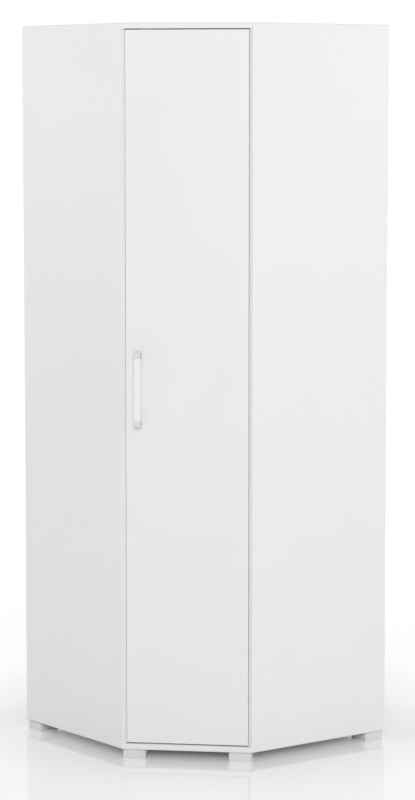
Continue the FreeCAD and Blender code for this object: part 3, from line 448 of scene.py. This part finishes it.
def metal_finish(name, colour, pitch, stretch, height, patch, depth, roughness):
    """Plated metal with drawn lines and a cloudy tone."""
    material, tree, shader, coordinates = start_finish(name)
    place = coordinates.outputs["Object"]
    shader.inputs["Metallic"].default_value = 1.0
    tone = place_group(tree, "soft_tone", Vector=place, Patch_Size=patch, Depth=depth)
    lines = place_group(tree, "brushed_lines", Vector=place, Stretch=stretch, Line_Pitch=pitch)
    feed(tree, toned_colour(tree, tone.outputs["Tone"], colour), shader.inputs["Base Color"])
    roughen(tree, shader, lines.outputs["Height"], *roughness)
    emboss(tree, shader, lines.outputs["Height"], height)
    return material


def core_chips(tree, place, colour):
    """Pressed wood chips of a chipboard core."""
    chips = add_node(tree, "ShaderNodeTexVoronoi", {"Vector": place, "Scale": 1 / CHIP_SIZE})
    brightness = add_node(tree, "ShaderNodeSeparateColor", {"Color": chips.outputs["Color"]})
    return mix_colours(
        tree, brightness.outputs["Red"], opaque(colour, share=DARK_CHIP), opaque(colour))


def melamine(name, settings, facing):
    """White melamine board; ends and holes that look away from the face show the raw core."""
    material, tree, shader = grained_finish(
        name, settings.melamine_colour, settings.pearl_cell, settings.pearl_height,
        patch=0.22, depth=0.012, roughness=(0.36, 0.44))
    coordinates = add_node(tree, "ShaderNodeTexCoord")
    across = add_node(tree, "ShaderNodeVectorMath", {0: coordinates.outputs["Normal"], 1: facing},
                      operation="DOT_PRODUCT")
    lean = calculate(tree, "ABSOLUTE", across.outputs["Value"])
    raw = calculate(tree, "LESS_THAN", lean, CORE_LEAN)
    white = shader.inputs["Base Color"].links[0].from_socket
    chips = core_chips(tree, coordinates.outputs["Object"], settings.core_colour)
    feed(tree, mix_colours(tree, raw, white, chips), shader.inputs["Base Color"])
    return material


def hardboard(name, settings):
    """Hardboard back: lacquered white to the room, raw fibre to the wall."""
    material, tree, shader, coordinates = start_finish(name)
    place = coordinates.outputs["Object"]
    spot = add_node(tree, "ShaderNodeSeparateXYZ", {"Vector": place})
    facing = add_node(tree, "ShaderNodeSeparateXYZ", {"Vector": coordinates.outputs["Normal"]})
    half = calculate(tree, "SIGN", spot.outputs["X"])
    sideways = calculate(tree, "MULTIPLY", facing.outputs["X"], half)
    to_wall = calculate(tree, "ADD", sideways, facing.outputs["Y"])
    wall_side = calculate(tree, "GREATER_THAN", to_wall, WALL_LEAN)
    tone = place_group(tree, "soft_tone", Vector=place, Patch_Size=0.09, Depth=0.22)
    fibres = place_group(tree, "brushed_lines", Vector=place, Stretch=(1.0, 1.0, 0.35),
                         Line_Pitch=1.1 * MM)
    grain = place_group(tree, "pearl_grain", Vector=place, Cell_Size=1.3 * MM)
    fibre_mask = remap(tree, fibres.outputs["Height"], *FIBRE_RANGE, 0.0, 1.0)
    dark = opaque(settings.hardboard_colour, share=0.72)
    pale = opaque(settings.hardboard_colour, share=1.35)
    raw = mix_colours(tree, fibre_mask, dark, pale)
    raw = mix_colours(tree, 1.0, raw, tone.outputs["Tone"], blend="MULTIPLY")
    lacquer = opaque(settings.melamine_colour)
    feed(tree, mix_colours(tree, wall_side, lacquer, raw), shader.inputs["Base Color"])
    roughen(tree, shader, wall_side, low=0.42, high=0.72)
    emboss(tree, shader, grain.outputs["Height"], depth=0.03 * MM)
    return material


def beech(name, settings):
    """Turned beech with short dark flecks."""
    material, tree, shader, coordinates = start_finish(name)
    grain = place_group(tree, "brushed_lines", Vector=coordinates.outputs["Object"],
                        Stretch=(1.0, 1.0, 0.15), Line_Pitch=0.8 * MM)
    fleck = remap(tree, grain.outputs["Height"], *FIBRE_RANGE, 0.0, 1.0)
    dark = opaque(settings.beech_colour, share=0.7)
    flecked = mix_colours(tree, fleck, dark, opaque(settings.beech_colour))
    feed(tree, flecked, shader.inputs["Base Color"])
    roughen(tree, shader, fleck, low=0.5, high=0.65)
    emboss(tree, shader, grain.outputs["Height"], depth=0.05 * MM)
    return material


def dress(nodes, material):
    """Gives CAD nodes a finish."""
    for name in nodes:
        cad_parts[name].data.materials[0] = material


def moulding(settings):
    """The white plastic that brackets, catches and covers share."""
    found = bpy.data.materials.get("white_moulding")
    if found is None:
        found = grained_finish(
            "white_moulding", settings.edging_colour, cell=0.6 * MM, height=0.02 * MM,
            patch=0.03, depth=0.02, roughness=(0.38, 0.48))[0]
    return found


def zinc(settings):
    """The zinc plate that screws, nails, cams and brackets share."""
    found = bpy.data.materials.get("zinc_plate")
    if found is None:
        found = metal_finish(
            "zinc_plate", settings.zinc_colour, pitch=0.5 * MM, stretch=(1.0, 1.0, 1.0),
            height=0.008 * MM, patch=5 * MM, depth=0.22, roughness=(0.28, 0.46))
    return found


def loose_parts(node):
    """The corner points of each separate solid in a CAD node."""
    mesh = bmesh.new()
    mesh.from_mesh(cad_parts[node].data)
    bmesh.ops.remove_doubles(mesh, verts=mesh.verts, dist=MERGE_DISTANCE)
    waiting = set(mesh.verts)
    parts = []
    for seed in list(mesh.verts):
        if seed not in waiting:
            continue
        waiting.discard(seed)
        front = [seed]
        points = []
        while front:
            vertex = front.pop()
            points.append(vertex.co.copy())
            for edge in vertex.link_edges:
                other = edge.other_vert(vertex)
                if other in waiting:
                    waiting.discard(other)
                    front.append(other)
        parts.append(np.array(points))
    mesh.free()
    return parts


class TurnedPlace:
    """Where one turned fitting sits: its head end, the way it points, and its radii."""

    def __init__(self, points, flat):
        centre = points.mean(axis=0)
        spread = np.cov((points - centre).T)
        ways = np.linalg.eigh(spread)[1].T
        reaches = [np.ptp(points @ way) for way in ways]
        chosen = np.argmin(reaches) if flat else np.argmax(reaches)
        principal = Vector(ways[chosen])
        axis = max(MAIN_DIRECTIONS, key=lambda way: abs(way.dot(principal)))
        side = axis.orthogonal().normalized()
        other = axis.cross(side)
        heights = points @ np.array(axis)
        middle = [(points @ np.array(way)).min() / 2 + (points @ np.array(way)).max() / 2
                  for way in (side, other)]
        radii = np.hypot(points @ np.array(side) - middle[0], points @ np.array(other) - middle[1])
        low, high = heights.min(), heights.max()
        self.length = float(high - low)
        share = (heights - low) / self.length
        low_radius = radii[share < END_SHARE].max()
        high_radius = radii[share > 1 - END_SHARE].max()
        head_is_low = low_radius >= high_radius
        self.direction = axis if head_is_low else -axis
        start = low if head_is_low else high
        self.head = side * middle[0] + other * middle[1] + axis * float(start)
        self.head_radius = float(max(low_radius, high_radius))
        self.end_radius = float(min(low_radius, high_radius))
        from_head = share if head_is_low else 1 - share
        wide = radii > (self.head_radius + self.end_radius) / 2
        self.head_height = float(from_head[wide].max(initial=0.0)) * self.length


def lathe_depth(tree, given, height):
    """How far each row of the blank comes to lie behind the face of the head."""
    share = calculate(tree, "SUBTRACT", 0.5, height)
    in_head = remap(tree, share, 0.0, HEAD_ROWS, 0.0, given["Head Height"])
    shank_length = calculate(tree, "SUBTRACT", given["Length"], given["Head Height"])
    in_shank = remap(tree, share, HEAD_ROWS, 1.0, 0.0, shank_length)
    return calculate(tree, "ADD", in_head, in_shank)


def rippled_shank(tree, given, depth, angle):
    """Radius of a shank whose ripple is a thread with one start, rings with none, or flutes."""
    turn = calculate(tree, "DIVIDE", angle, 2 * math.pi)
    along = calculate(tree, "MULTIPLY", depth, given["Ripple Rate"])
    round_about = calculate(tree, "MULTIPLY", turn, given["Ripple Starts"])
    phase = calculate(tree, "ADD", along, round_about)
    wave = calculate(tree, "MULTIPLY", calculate(tree, "PINGPONG", phase, 0.5), 2.0)
    threaded = calculate(tree, "GREATER_THAN", depth, given["Smooth Length"])
    kept_wave = calculate(tree, "MULTIPLY", wave, threaded)
    cut = calculate(tree, "MULTIPLY", kept_wave, given["Ripple Depth"])
    return calculate(tree, "SUBTRACT", given["Shank Radius"], cut)


def lathe_radius(tree, given, depth, angle):
    """Radius at a depth: the head with its rounded rim, then the shank down to its tip."""
    tip_start = calculate(tree, "SUBTRACT", given["Length"], given["Tip Length"])
    tip = remap(tree, depth, tip_start, given["Length"], given["Shank Radius"], given["Tip Radius"])
    shank = calculate(tree, "MINIMUM", rippled_shank(tree, given, depth, angle), tip)
    head_end = calculate(tree, "ADD", given["Head Height"], HEAD_MARGIN)
    in_head = calculate(tree, "LESS_THAN", depth, head_end)
    head = calculate(tree, "MULTIPLY", in_head, given["Head Radius"])
    body = calculate(tree, "MAXIMUM", head, shank)
    widest = calculate(tree, "MAXIMUM", given["Head Radius"], given["Shank Radius"])
    rim_radius = calculate(tree, "SUBTRACT", widest, given["Rim"])
    rim = remap(tree, depth, 0.0, given["Rim"], rim_radius, widest, smooth=True)
    return calculate(tree, "MINIMUM", body, rim)


def turned_blank(tree, given):
    """A fitting turned from a cylinder; it points down from its head."""
    blank = add_node(tree, "GeometryNodeMeshCylinder", {
        "Vertices": given["Sides"], "Side Segments": given["Rows"], "Radius": 1.0, "Depth": 1.0},
        fill_type="NGON")
    position = add_node(tree, "GeometryNodeInputPosition")
    split = add_node(tree, "ShaderNodeSeparateXYZ", {"Vector": position.outputs["Position"]})
    parts = split.outputs
    depth = lathe_depth(tree, given, parts["Z"])
    angle = calculate(tree, "ARCTAN2", parts["Y"], parts["X"])
    radius = lathe_radius(tree, given, depth, angle)
    turned = add_node(tree, "ShaderNodeCombineXYZ", {
        "X": calculate(tree, "MULTIPLY", parts["X"], radius),
        "Y": calculate(tree, "MULTIPLY", parts["Y"], radius),
        "Z": calculate(tree, "MULTIPLY", depth, -1.0)})
    lathe = add_node(tree, "GeometryNodeSetPosition", {
        "Geometry": blank.outputs["Mesh"], "Position": turned.outputs["Vector"]})
    return lathe.outputs["Geometry"]


def cross_slotted(tree, given, fitting):
    """The fitting with two crossed slots in its head, where they are asked for."""
    slot_length = calculate(tree, "MULTIPLY", given["Slot Reach"], 2.0)
    slot_height = calculate(tree, "MULTIPLY", given["Slot Depth"], 2.0)
    recess = add_node(tree, "GeometryNodeMeshBoolean", {"Mesh 1": fitting},
                      operation="DIFFERENCE", solver="EXACT")
    for across, width in ((slot_length, given["Slot Width"]), (given["Slot Width"], slot_length)):
        size = add_node(tree, "ShaderNodeCombineXYZ", {"X": across, "Y": width, "Z": slot_height})
        slot = add_node(tree, "GeometryNodeMeshCube", {"Size": size.outputs["Vector"]})
        feed(tree, slot.outputs["Mesh"], recess.inputs["Mesh 2"])
    choice = add_node(tree, "GeometryNodeSwitch", input_type="GEOMETRY")
    feed(tree, given["Cross Slot"], choice.inputs["Switch"])
    feed(tree, fitting, choice.inputs["False"])
    feed(tree, recess.outputs["Mesh"], choice.inputs["True"])
    return choice.outputs["Output"]


def set_at_places(tree, given, fitting):
    """One copy of the fitting at each point, with its head outward."""
    outward = add_node(tree, "GeometryNodeInputNamedAttribute", {"Name": OUTWARD},
                       data_type="FLOAT_VECTOR")
    aligned = add_node(tree, "FunctionNodeAlignRotationToVector",
                       {"Vector": outward.outputs["Attribute"]}, axis="Z")
    placed = add_node(tree, "GeometryNodeInstanceOnPoints", {
        "Points": given["Geometry"], "Instance": fitting, "Rotation": aligned.outputs["Rotation"]})
    real = add_node(tree, "GeometryNodeRealizeInstances", {"Geometry": placed.outputs["Instances"]})
    painted = add_node(tree, "GeometryNodeSetMaterial", {
        "Geometry": real.outputs["Geometry"], "Material": given["Material"]})
    return painted.outputs["Geometry"]


def turned_tree():
    """Geometry nodes that turn one fitting on a lathe and set it at every place."""
    found = bpy.data.node_groups.get("turned_fitting")
    if found is not None:
        return found
    inputs = [("Geometry", SHAPE), ("Material", "NodeSocketMaterial"), ("Sides", "NodeSocketInt"),
              ("Rows", "NodeSocketInt"), ("Cross Slot", "NodeSocketBool")]
    inputs += [(label, NUMBER) for label in TURNED_SIZES]
    tree, start, end = new_group(
        "turned_fitting", "GeometryNodeTree", inputs, [("Geometry", SHAPE)])
    tree.is_modifier = True
    given = start.outputs
    fitting = cross_slotted(tree, given, turned_blank(tree, given))
    feed(tree, set_at_places(tree, given, fitting), end.inputs["Geometry"])
    return tree


def place_points(name, places):
    """An object with one point per fitting, each with the way out of its head."""
    mesh = bpy.data.meshes.new(name)
    mesh.from_pydata([place.head for place in places], [], [])
    outward = mesh.attributes.new(OUTWARD, "FLOAT_VECTOR", "POINT")
    for entry, place in zip(outward.data, places):
        entry.vector = -place.direction
    piece = bpy.data.objects.new(name, mesh)
    bpy.context.scene.collection.objects.link(piece)
    return piece


def set_inputs(modifier, values):
    """Writes values on a geometry nodes modifier by the names of its sockets."""
    sockets = {item.name: item.identifier for item in modifier.node_group.interface.items_tree
               if item.in_out == "INPUT"}
    for label, value in values.items():
        modifier[sockets[label]] = value


def bake_nodes(piece, material):
    """Turns what the nodes make into a plain mesh and takes the modifier away."""
    graph = bpy.context.evaluated_depsgraph_get()
    mesh = bpy.data.meshes.new_from_object(piece.evaluated_get(graph))
    piece.modifiers.clear()
    points = piece.data
    piece.data = mesh
    bpy.data.meshes.remove(points)
    mesh.name = piece.name
    mesh.materials.clear()
    mesh.materials.append(material)
    mesh.shade_smooth()
    mesh.set_sharp_from_angle(angle=SMOOTH_ANGLE)


def turn_fittings(node, body, material, shape, flat=False):
    """Replaces a CAD node of like fittings by turned ones in the same places.

    shape takes one place and gives the inputs of the tree that aren't read from the node.
    """
    places = [TurnedPlace(points, flat) for points in loose_parts(node)]
    first = places[0]
    piece = place_points("turned_" + node, places)
    modifier = piece.modifiers.new("turned_fitting", "NODES")
    modifier.node_group = turned_tree()
    values = {"Material": material, "Length": first.length, "Head Radius": first.head_radius,
              "Head Height": first.head_height, "Shank Radius": first.end_radius,
              "Tip Radius": first.end_radius}
    values.update(shape(first))
    set_inputs(modifier, values)
    bake_nodes(piece, material)
    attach(piece, body)
    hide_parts(node)


def require(nodes):
    """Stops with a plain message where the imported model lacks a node."""
    missing = [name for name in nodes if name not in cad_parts]
    if missing:
        raise RuntimeError("The packed model lacks %s" % ", ".join(missing))


class WARDROBE_OT_boards(bpy.types.Operator):
    """Give the boards their white melamine"""
    bl_idname = "wardrobe.boards"
    bl_label = "Boards"

    def execute(self, context):
        finishes = context.scene.wardrobe_finishes
        for name, nodes, facing in (
                ("melamine_level", LEVEL_BOARDS, (0, 0, 1)),
                ("melamine_front", FRONT_BOARDS, (0, 1, 0)),
                ("melamine_left", LEFT_BOARDS, (DIAGONAL, DIAGONAL, 0)),
                ("melamine_right", RIGHT_BOARDS, (DIAGONAL, -DIAGONAL, 0))):
            require(nodes)
            dress(nodes, melamine(name, finishes, facing))
        return {"FINISHED"}


class WARDROBE_OT_edging(bpy.types.Operator):
    """Give the edge strips their smooth white plastic"""
    bl_idname = "wardrobe.edging"
    bl_label = "Edging"

    def execute(self, context):
        require(EDGINGS)
        finishes = context.scene.wardrobe_finishes
        material = grained_finish(
            "white_edge_strip", finishes.edging_colour, cell=0.5 * MM, height=0.006 * MM,
            patch=0.22, depth=0.012, roughness=(0.36, 0.44))[0]
        dress(EDGINGS, material)
        return {"FINISHED"}


class WARDROBE_OT_backs(bpy.types.Operator):
    """Give the hardboard backs a white room side and a raw wall side"""
    bl_idname = "wardrobe.backs"
    bl_label = "Backs"

    def execute(self, context):
        require(BACKS)
        dress(BACKS, hardboard("hardboard", context.scene.wardrobe_finishes))
        return {"FINISHED"}


class WARDROBE_OT_feet(bpy.types.Operator):
    """Give the feet their silver grey plastic"""
    bl_idname = "wardrobe.feet"
    bl_label = "Feet"

    def execute(self, context):
        require(FEET)
        finishes = context.scene.wardrobe_finishes
        material = grained_finish(
            "silver_moulding", finishes.foot_colour, cell=0.45 * MM, height=0.02 * MM,
            patch=0.02, depth=0.04, roughness=(0.36, 0.48))[0]
        dress(FEET, material)
        return {"FINISHED"}


class WARDROBE_OT_handle(bpy.types.Operator):
    """Give the handle its white lacquered bar and satin chrome blocks"""
    bl_idname = "wardrobe.handle"
    bl_label = "Handle"

    def execute(self, context):
        require(HANDLE_BLOCKS + ["handle_bar"])
        finishes = context.scene.wardrobe_finishes
        lacquer, _, shader = grained_finish(
            "white_lacquer_bar", finishes.bar_colour, cell=1.8 * MM, height=0.006 * MM,
            patch=0.05, depth=0.01, roughness=(0.16, 0.22))
        shader.inputs["Coat Weight"].default_value = 0.4
        shader.inputs["Coat Roughness"].default_value = 0.08
        dress(["handle_bar"], lacquer)
        blocks = metal_finish(
            "satin_chrome_blocks", finishes.chrome_colour, pitch=0.25 * MM,
            stretch=(0.03, 0.03, 1.0), height=0.004 * MM, patch=0.01, depth=0.06,
            roughness=(0.24, 0.36))
        dress(HANDLE_BLOCKS, blocks)
        return {"FINISHED"}


class WARDROBE_OT_hinges(bpy.types.Operator):
    """Give the hinges their nickel plate"""
    bl_idname = "wardrobe.hinges"
    bl_label = "Hinges"

    def execute(self, context):
        require(HINGE_STEEL)
        finishes = context.scene.wardrobe_finishes
        nickel = metal_finish(
            "nickel_plate", finishes.nickel_colour, pitch=0.3 * MM, stretch=(1.0, 1.0, 0.04),
            height=0.004 * MM, patch=0.012, depth=0.10, roughness=(0.16, 0.30))
        dress(HINGE_STEEL, nickel)
        return {"FINISHED"}


class WARDROBE_OT_inside(bpy.types.Operator):
    """Give rail, brackets, catches and plates their finishes"""
    bl_idname = "wardrobe.inside"
    bl_label = "Inside"

    def execute(self, context):
        require(WHITE_MOULDINGS + ZINC_PARTS + ["clothes_rail"])
        finishes = context.scene.wardrobe_finishes
        dress(WHITE_MOULDINGS, moulding(finishes))
        chrome = metal_finish(
            "chrome_tube", finishes.chrome_colour, pitch=0.3 * MM, stretch=(0.02, 1.0, 1.0),
            height=0.002 * MM, patch=0.08, depth=0.05, roughness=(0.06, 0.12))
        dress(["clothes_rail"], chrome)
        dress(ZINC_PARTS, zinc(finishes))
        return {"FINISHED"}


class WARDROBE_OT_screws(bpy.types.Operator):
    """Turn the pan-head screws with their threads and cross slots"""
    bl_idname = "wardrobe.screws"
    bl_label = "Screws"

    def execute(self, context):
        require(CARCASS_SCREWS + DOOR_SCREWS)
        sizes = context.scene.wardrobe_fittings
        material = zinc(context.scene.wardrobe_finishes)

        def screw(place):
            return {"Sides": 24, "Rows": 48, "Smooth Length": place.head_height + SCREW_NECK,
                    "Ripple Rate": 1 / sizes.screw_pitch, "Ripple Starts": 1.0,
                    "Ripple Depth": sizes.screw_thread, "Tip Length": sizes.screw_tip,
                    "Tip Radius": 0.2 * MM, "Rim": place.head_height / 2, "Cross Slot": True,
                    "Slot Reach": place.head_radius * sizes.recess_reach,
                    "Slot Width": place.head_radius * sizes.recess_width,
                    "Slot Depth": place.head_height * RECESS_DEPTH}

        for node in CARCASS_SCREWS:
            turn_fittings(node, "carcass", material, screw)
        for node in DOOR_SCREWS:
            turn_fittings(node, "door", material, screw)
        return {"FINISHED"}


class WARDROBE_OT_nails(bpy.types.Operator):
    """Turn the ringed nails that hold the backs"""
    bl_idname = "wardrobe.nails"
    bl_label = "Nails"

    def execute(self, context):
        require(["back_panel_nails"])
        sizes = context.scene.wardrobe_fittings

        def nail(place):
            return {"Sides": 12, "Rows": 20, "Smooth Length": 3 * MM,
                    "Ripple Rate": 1 / sizes.nail_ring_pitch, "Ripple Starts": 0.0,
                    "Ripple Depth": sizes.nail_ring_depth, "Tip Length": 2 * MM,
                    "Tip Radius": 0.1 * MM, "Rim": 0.3 * MM}

        turn_fittings("back_panel_nails", "carcass", zinc(context.scene.wardrobe_finishes),
                      nail)
        return {"FINISHED"}


class WARDROBE_OT_joinery(bpy.types.Operator):
    """Turn the cam bolts, their covers and the fluted dowels"""
    bl_idname = "wardrobe.joinery"
    bl_label = "Joinery"

    def execute(self, context):
        require(["cam_bolts", "cam_covers", "wood_dowels"])
        finishes = context.scene.wardrobe_finishes
        sizes = context.scene.wardrobe_fittings

        def bolt(place):
            return {"Sides": 24, "Rows": 40, "Smooth Length": place.head_height + BOLT_NECK,
                    "Ripple Rate": 1 / sizes.bolt_pitch, "Ripple Starts": 1.0,
                    "Ripple Depth": sizes.bolt_thread, "Tip Length": 2 * MM,
                    "Tip Radius": 1.2 * MM, "Rim": 0.8 * MM}

        def dowel(place):
            return {"Sides": 4 * sizes.dowel_flutes, "Rows": 24, "Head Height": 0.0,
                    "Head Radius": 0.0, "Ripple Starts": float(sizes.dowel_flutes),
                    "Ripple Depth": sizes.dowel_flute_depth,
                    "Tip Length": sizes.dowel_chamfer, "Rim": sizes.dowel_chamfer,
                    "Tip Radius": place.end_radius - sizes.dowel_chamfer}

        def cover(place):
            return {"Sides": 32, "Rows": 16, "Head Height": 0.0, "Head Radius": 0.0,
                    "Rim": sizes.cover_rim, "Tip Length": sizes.cover_rim,
                    "Tip Radius": place.end_radius - sizes.cover_rim}

        turn_fittings("cam_bolts", "carcass", zinc(finishes), bolt)
        turn_fittings("wood_dowels", "carcass", beech("beech_dowel", finishes), dowel)
        turn_fittings("cam_covers", "carcass", moulding(finishes), cover, flat=True)
        return {"FINISHED"}


def seen_directly(tree):
    """1 for camera, mirror and see-through rays, 0 for rays that carry light."""
    path = add_node(tree, "ShaderNodeLightPath")
    plain = calculate(tree, "MAXIMUM", path.outputs["Is Camera Ray"], path.outputs["Is Glossy Ray"])
    return calculate(tree, "MAXIMUM", plain, path.outputs["Is Transmission Ray"])


def outside_plan(tree, place):
    """How far a point of the floor lies outside the wardrobe's plan; less than 0 under it."""
    nodes = LEVEL_BOARDS + LEFT_BOARDS + RIGHT_BOARDS + BACKS + EDGINGS
    corners = [vertex.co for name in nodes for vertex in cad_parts[name].data.vertices]
    furthest = None
    for side in PLAN_SIDES:
        across = add_node(tree, "ShaderNodeVectorMath", {0: place, 1: side}, operation="DOT_PRODUCT")
        edge = max(corner.dot(side) for corner in corners)
        outside = calculate(tree, "SUBTRACT", across.outputs["Value"], edge)
        if furthest is not None:
            outside = calculate(tree, "MAXIMUM", furthest, outside)
        furthest = outside
    return furthest


def floor_material(settings):
    """Pale glossy floor. What is seen of it directly is part shaded colour and part plain white.
    Under and near the wardrobe that white is a painted glow that lightens the wardrobe's shadow on
    the floor.
    """
    material, tree, shader, coordinates = start_finish("pale_floor")
    place = coordinates.outputs["Object"]
    seen = seen_directly(tree)
    tone = place_group(tree, "soft_tone", Vector=place, Patch_Size=0.8, Depth=0.006)
    # Painted light: seen directly, the floor keeps only a share of its shaded colour, so the
    # wardrobe's shadow on it shows weaker.
    share = remap(tree, seen, 0.0, 1.0, 1.0, settings.floor_share)
    shade = calculate(tree, "MULTIPLY", tone.outputs["Tone"], share)
    feed(tree, toned_colour(tree, shade, settings.floor_colour), shader.inputs["Base Color"])
    reach = outside_plan(tree, place)
    blur = remap(
        tree, reach, settings.far_start, settings.far_end,
        settings.floor_roughness, settings.far_roughness, smooth=True)
    feed(tree, blur, shader.inputs["Roughness"])
    # The first two steps are a painted glow under and near the wardrobe that lightens its shadow on
    # the floor. The last two fade the floor into the white backdrop.
    white = 0.0
    for begin, end, gain in (
            (-settings.under_depth, 0.0, settings.under_shadow_glow),
            (0.0, settings.near_reach, settings.near_shadow_glow),
            (settings.far_start, settings.far_end, settings.far_white),
            (settings.far_end, settings.horizon_end, settings.horizon_white)):
        step = remap(tree, reach, begin, end, 0.0, gain, smooth=True)
        white = calculate(tree, "ADD", white, step)
    shader.inputs["Emission Color"].default_value = WHITE
    feed(tree, calculate(tree, "MULTIPLY", white, seen), shader.inputs["Emission Strength"])
    return material


def make_floor(settings):
    """One large flat square under the feet."""
    half = settings.floor_size / 2
    drop = -0.2 * MM
    mesh = bpy.data.meshes.new("floor")
    corners = [(-half, -half, drop), (half, -half, drop), (half, half, drop), (-half, half, drop)]
    mesh.from_pydata(corners, [], [(0, 1, 2, 3)])
    mesh.materials.append(floor_material(settings))
    floor = bpy.data.objects.new("floor", mesh)
    bpy.context.scene.collection.objects.link(floor)


def make_sky(settings):
    """Even studio light that shows as plain white."""
    world = bpy.data.worlds.new("studio")
    world.use_nodes = True
    tree = world.node_tree
    tree.nodes.clear()
    light = add_node(tree, "ShaderNodeBackground", {
        "Color": WHITE, "Strength": settings.sky_strength})
    white = add_node(tree, "ShaderNodeBackground", {"Color": WHITE})
    blend = add_node(tree, "ShaderNodeMixShader", {
        0: seen_directly(tree), 1: light.outputs["Background"], 2: white.outputs["Background"]})
    add_node(tree, "ShaderNodeOutputWorld", {"Surface": blend.outputs["Shader"]})
    bpy.context.scene.world = world


def make_softbox(settings, side):
    """Large square lamp at one side that faces the wardrobe."""
    name = side + "_softbox"
    lamp = bpy.data.lights.new(name, "AREA")
    lamp.energy = getattr(settings, side + "_power")
    lamp.size = settings.softbox_size
    softbox = bpy.data.objects.new(name, lamp)
    softbox.location = getattr(settings, side + "_place")
    aim = Vector(settings.softbox_aim) - softbox.location
    softbox.rotation_euler = aim.to_track_quat("-Z", "Y").to_euler()
    softbox.visible_camera = False
    softbox.visible_glossy = side in MIRRORED_SOFTBOXES
    bpy.context.scene.collection.objects.link(softbox)


def make_camera(settings):
    """The camera, at the distance and angle of the photograph."""
    lens = bpy.data.cameras.new("camera")
    lens.sensor_width = 36.0
    lens.lens = settings.focal_length
    lens.clip_end = 200.0
    camera = bpy.data.objects.new("camera", lens)
    camera.location = settings.camera_place
    camera.rotation_euler = settings.camera_turn
    bpy.context.scene.collection.objects.link(camera)
    bpy.context.scene.camera = camera


class WARDROBE_OT_stage(bpy.types.Operator):
    """Make floor, light and camera"""
    bl_idname = "wardrobe.stage"
    bl_label = "Stage"

    def execute(self, context):
        settings = context.scene.wardrobe_stage
        context.scene.view_settings.view_transform = "Standard"
        make_floor(settings)
        make_sky(settings)
        for side in SOFTBOXES:
            make_softbox(settings, side)
        make_camera(settings)
        return {"FINISHED"}


PIECE_OPERATORS = [
    WARDROBE_OT_boards,
    WARDROBE_OT_edging,
    WARDROBE_OT_backs,
    WARDROBE_OT_feet,
    WARDROBE_OT_handle,
    WARDROBE_OT_hinges,
    WARDROBE_OT_inside,
    WARDROBE_OT_screws,
    WARDROBE_OT_nails,
    WARDROBE_OT_joinery,
    WARDROBE_OT_stage,
]


class WARDROBE_PT_panel(bpy.types.Panel):
    """Steps and settings of the wardrobe"""
    bl_idname = "WARDROBE_PT_panel"
    bl_label = "Corner wardrobe"
    bl_space_type = "VIEW_3D"
    bl_region_type = "UI"
    bl_category = "Wardrobe"

    def draw(self, context):
        layout = self.layout
        for operator in PIECE_OPERATORS:
            layout.operator(operator.bl_idname)
        for settings in (context.scene.wardrobe_finishes, context.scene.wardrobe_fittings,
                         context.scene.wardrobe_stage):
            box = layout.box()
            for name in settings.__annotations__:
                box.prop(settings, name)


SETTINGS = {
    "wardrobe_finishes": WardrobeFinishes,
    "wardrobe_fittings": WardrobeFittings,
    "wardrobe_stage": WardrobeStage,
}
CLASSES = list(SETTINGS.values()) + PIECE_OPERATORS + [WARDROBE_PT_panel]


def register():
    """Makes the classes and the scene's settings known."""
    for each in CLASSES:
        bpy.utils.register_class(each)
    for name, group in SETTINGS.items():
        setattr(bpy.types.Scene, name, PointerProperty(type=group))


def unregister():
    """Takes the settings and classes away again."""
    for name in SETTINGS:
        delattr(bpy.types.Scene, name)
    for each in reversed(CLASSES):
        bpy.utils.unregister_class(each)


def main():
    """Dresses the wardrobe step by step."""
    register()
    bpy.ops.wardrobe.boards()
    bpy.ops.wardrobe.edging()
    bpy.ops.wardrobe.backs()
    bpy.ops.wardrobe.feet()
    bpy.ops.wardrobe.handle()
    bpy.ops.wardrobe.hinges()
    bpy.ops.wardrobe.inside()
    bpy.ops.wardrobe.screws()
    bpy.ops.wardrobe.nails()
    bpy.ops.wardrobe.joinery()
    bpy.ops.wardrobe.stage()


if __name__ == "__main__":
    main()
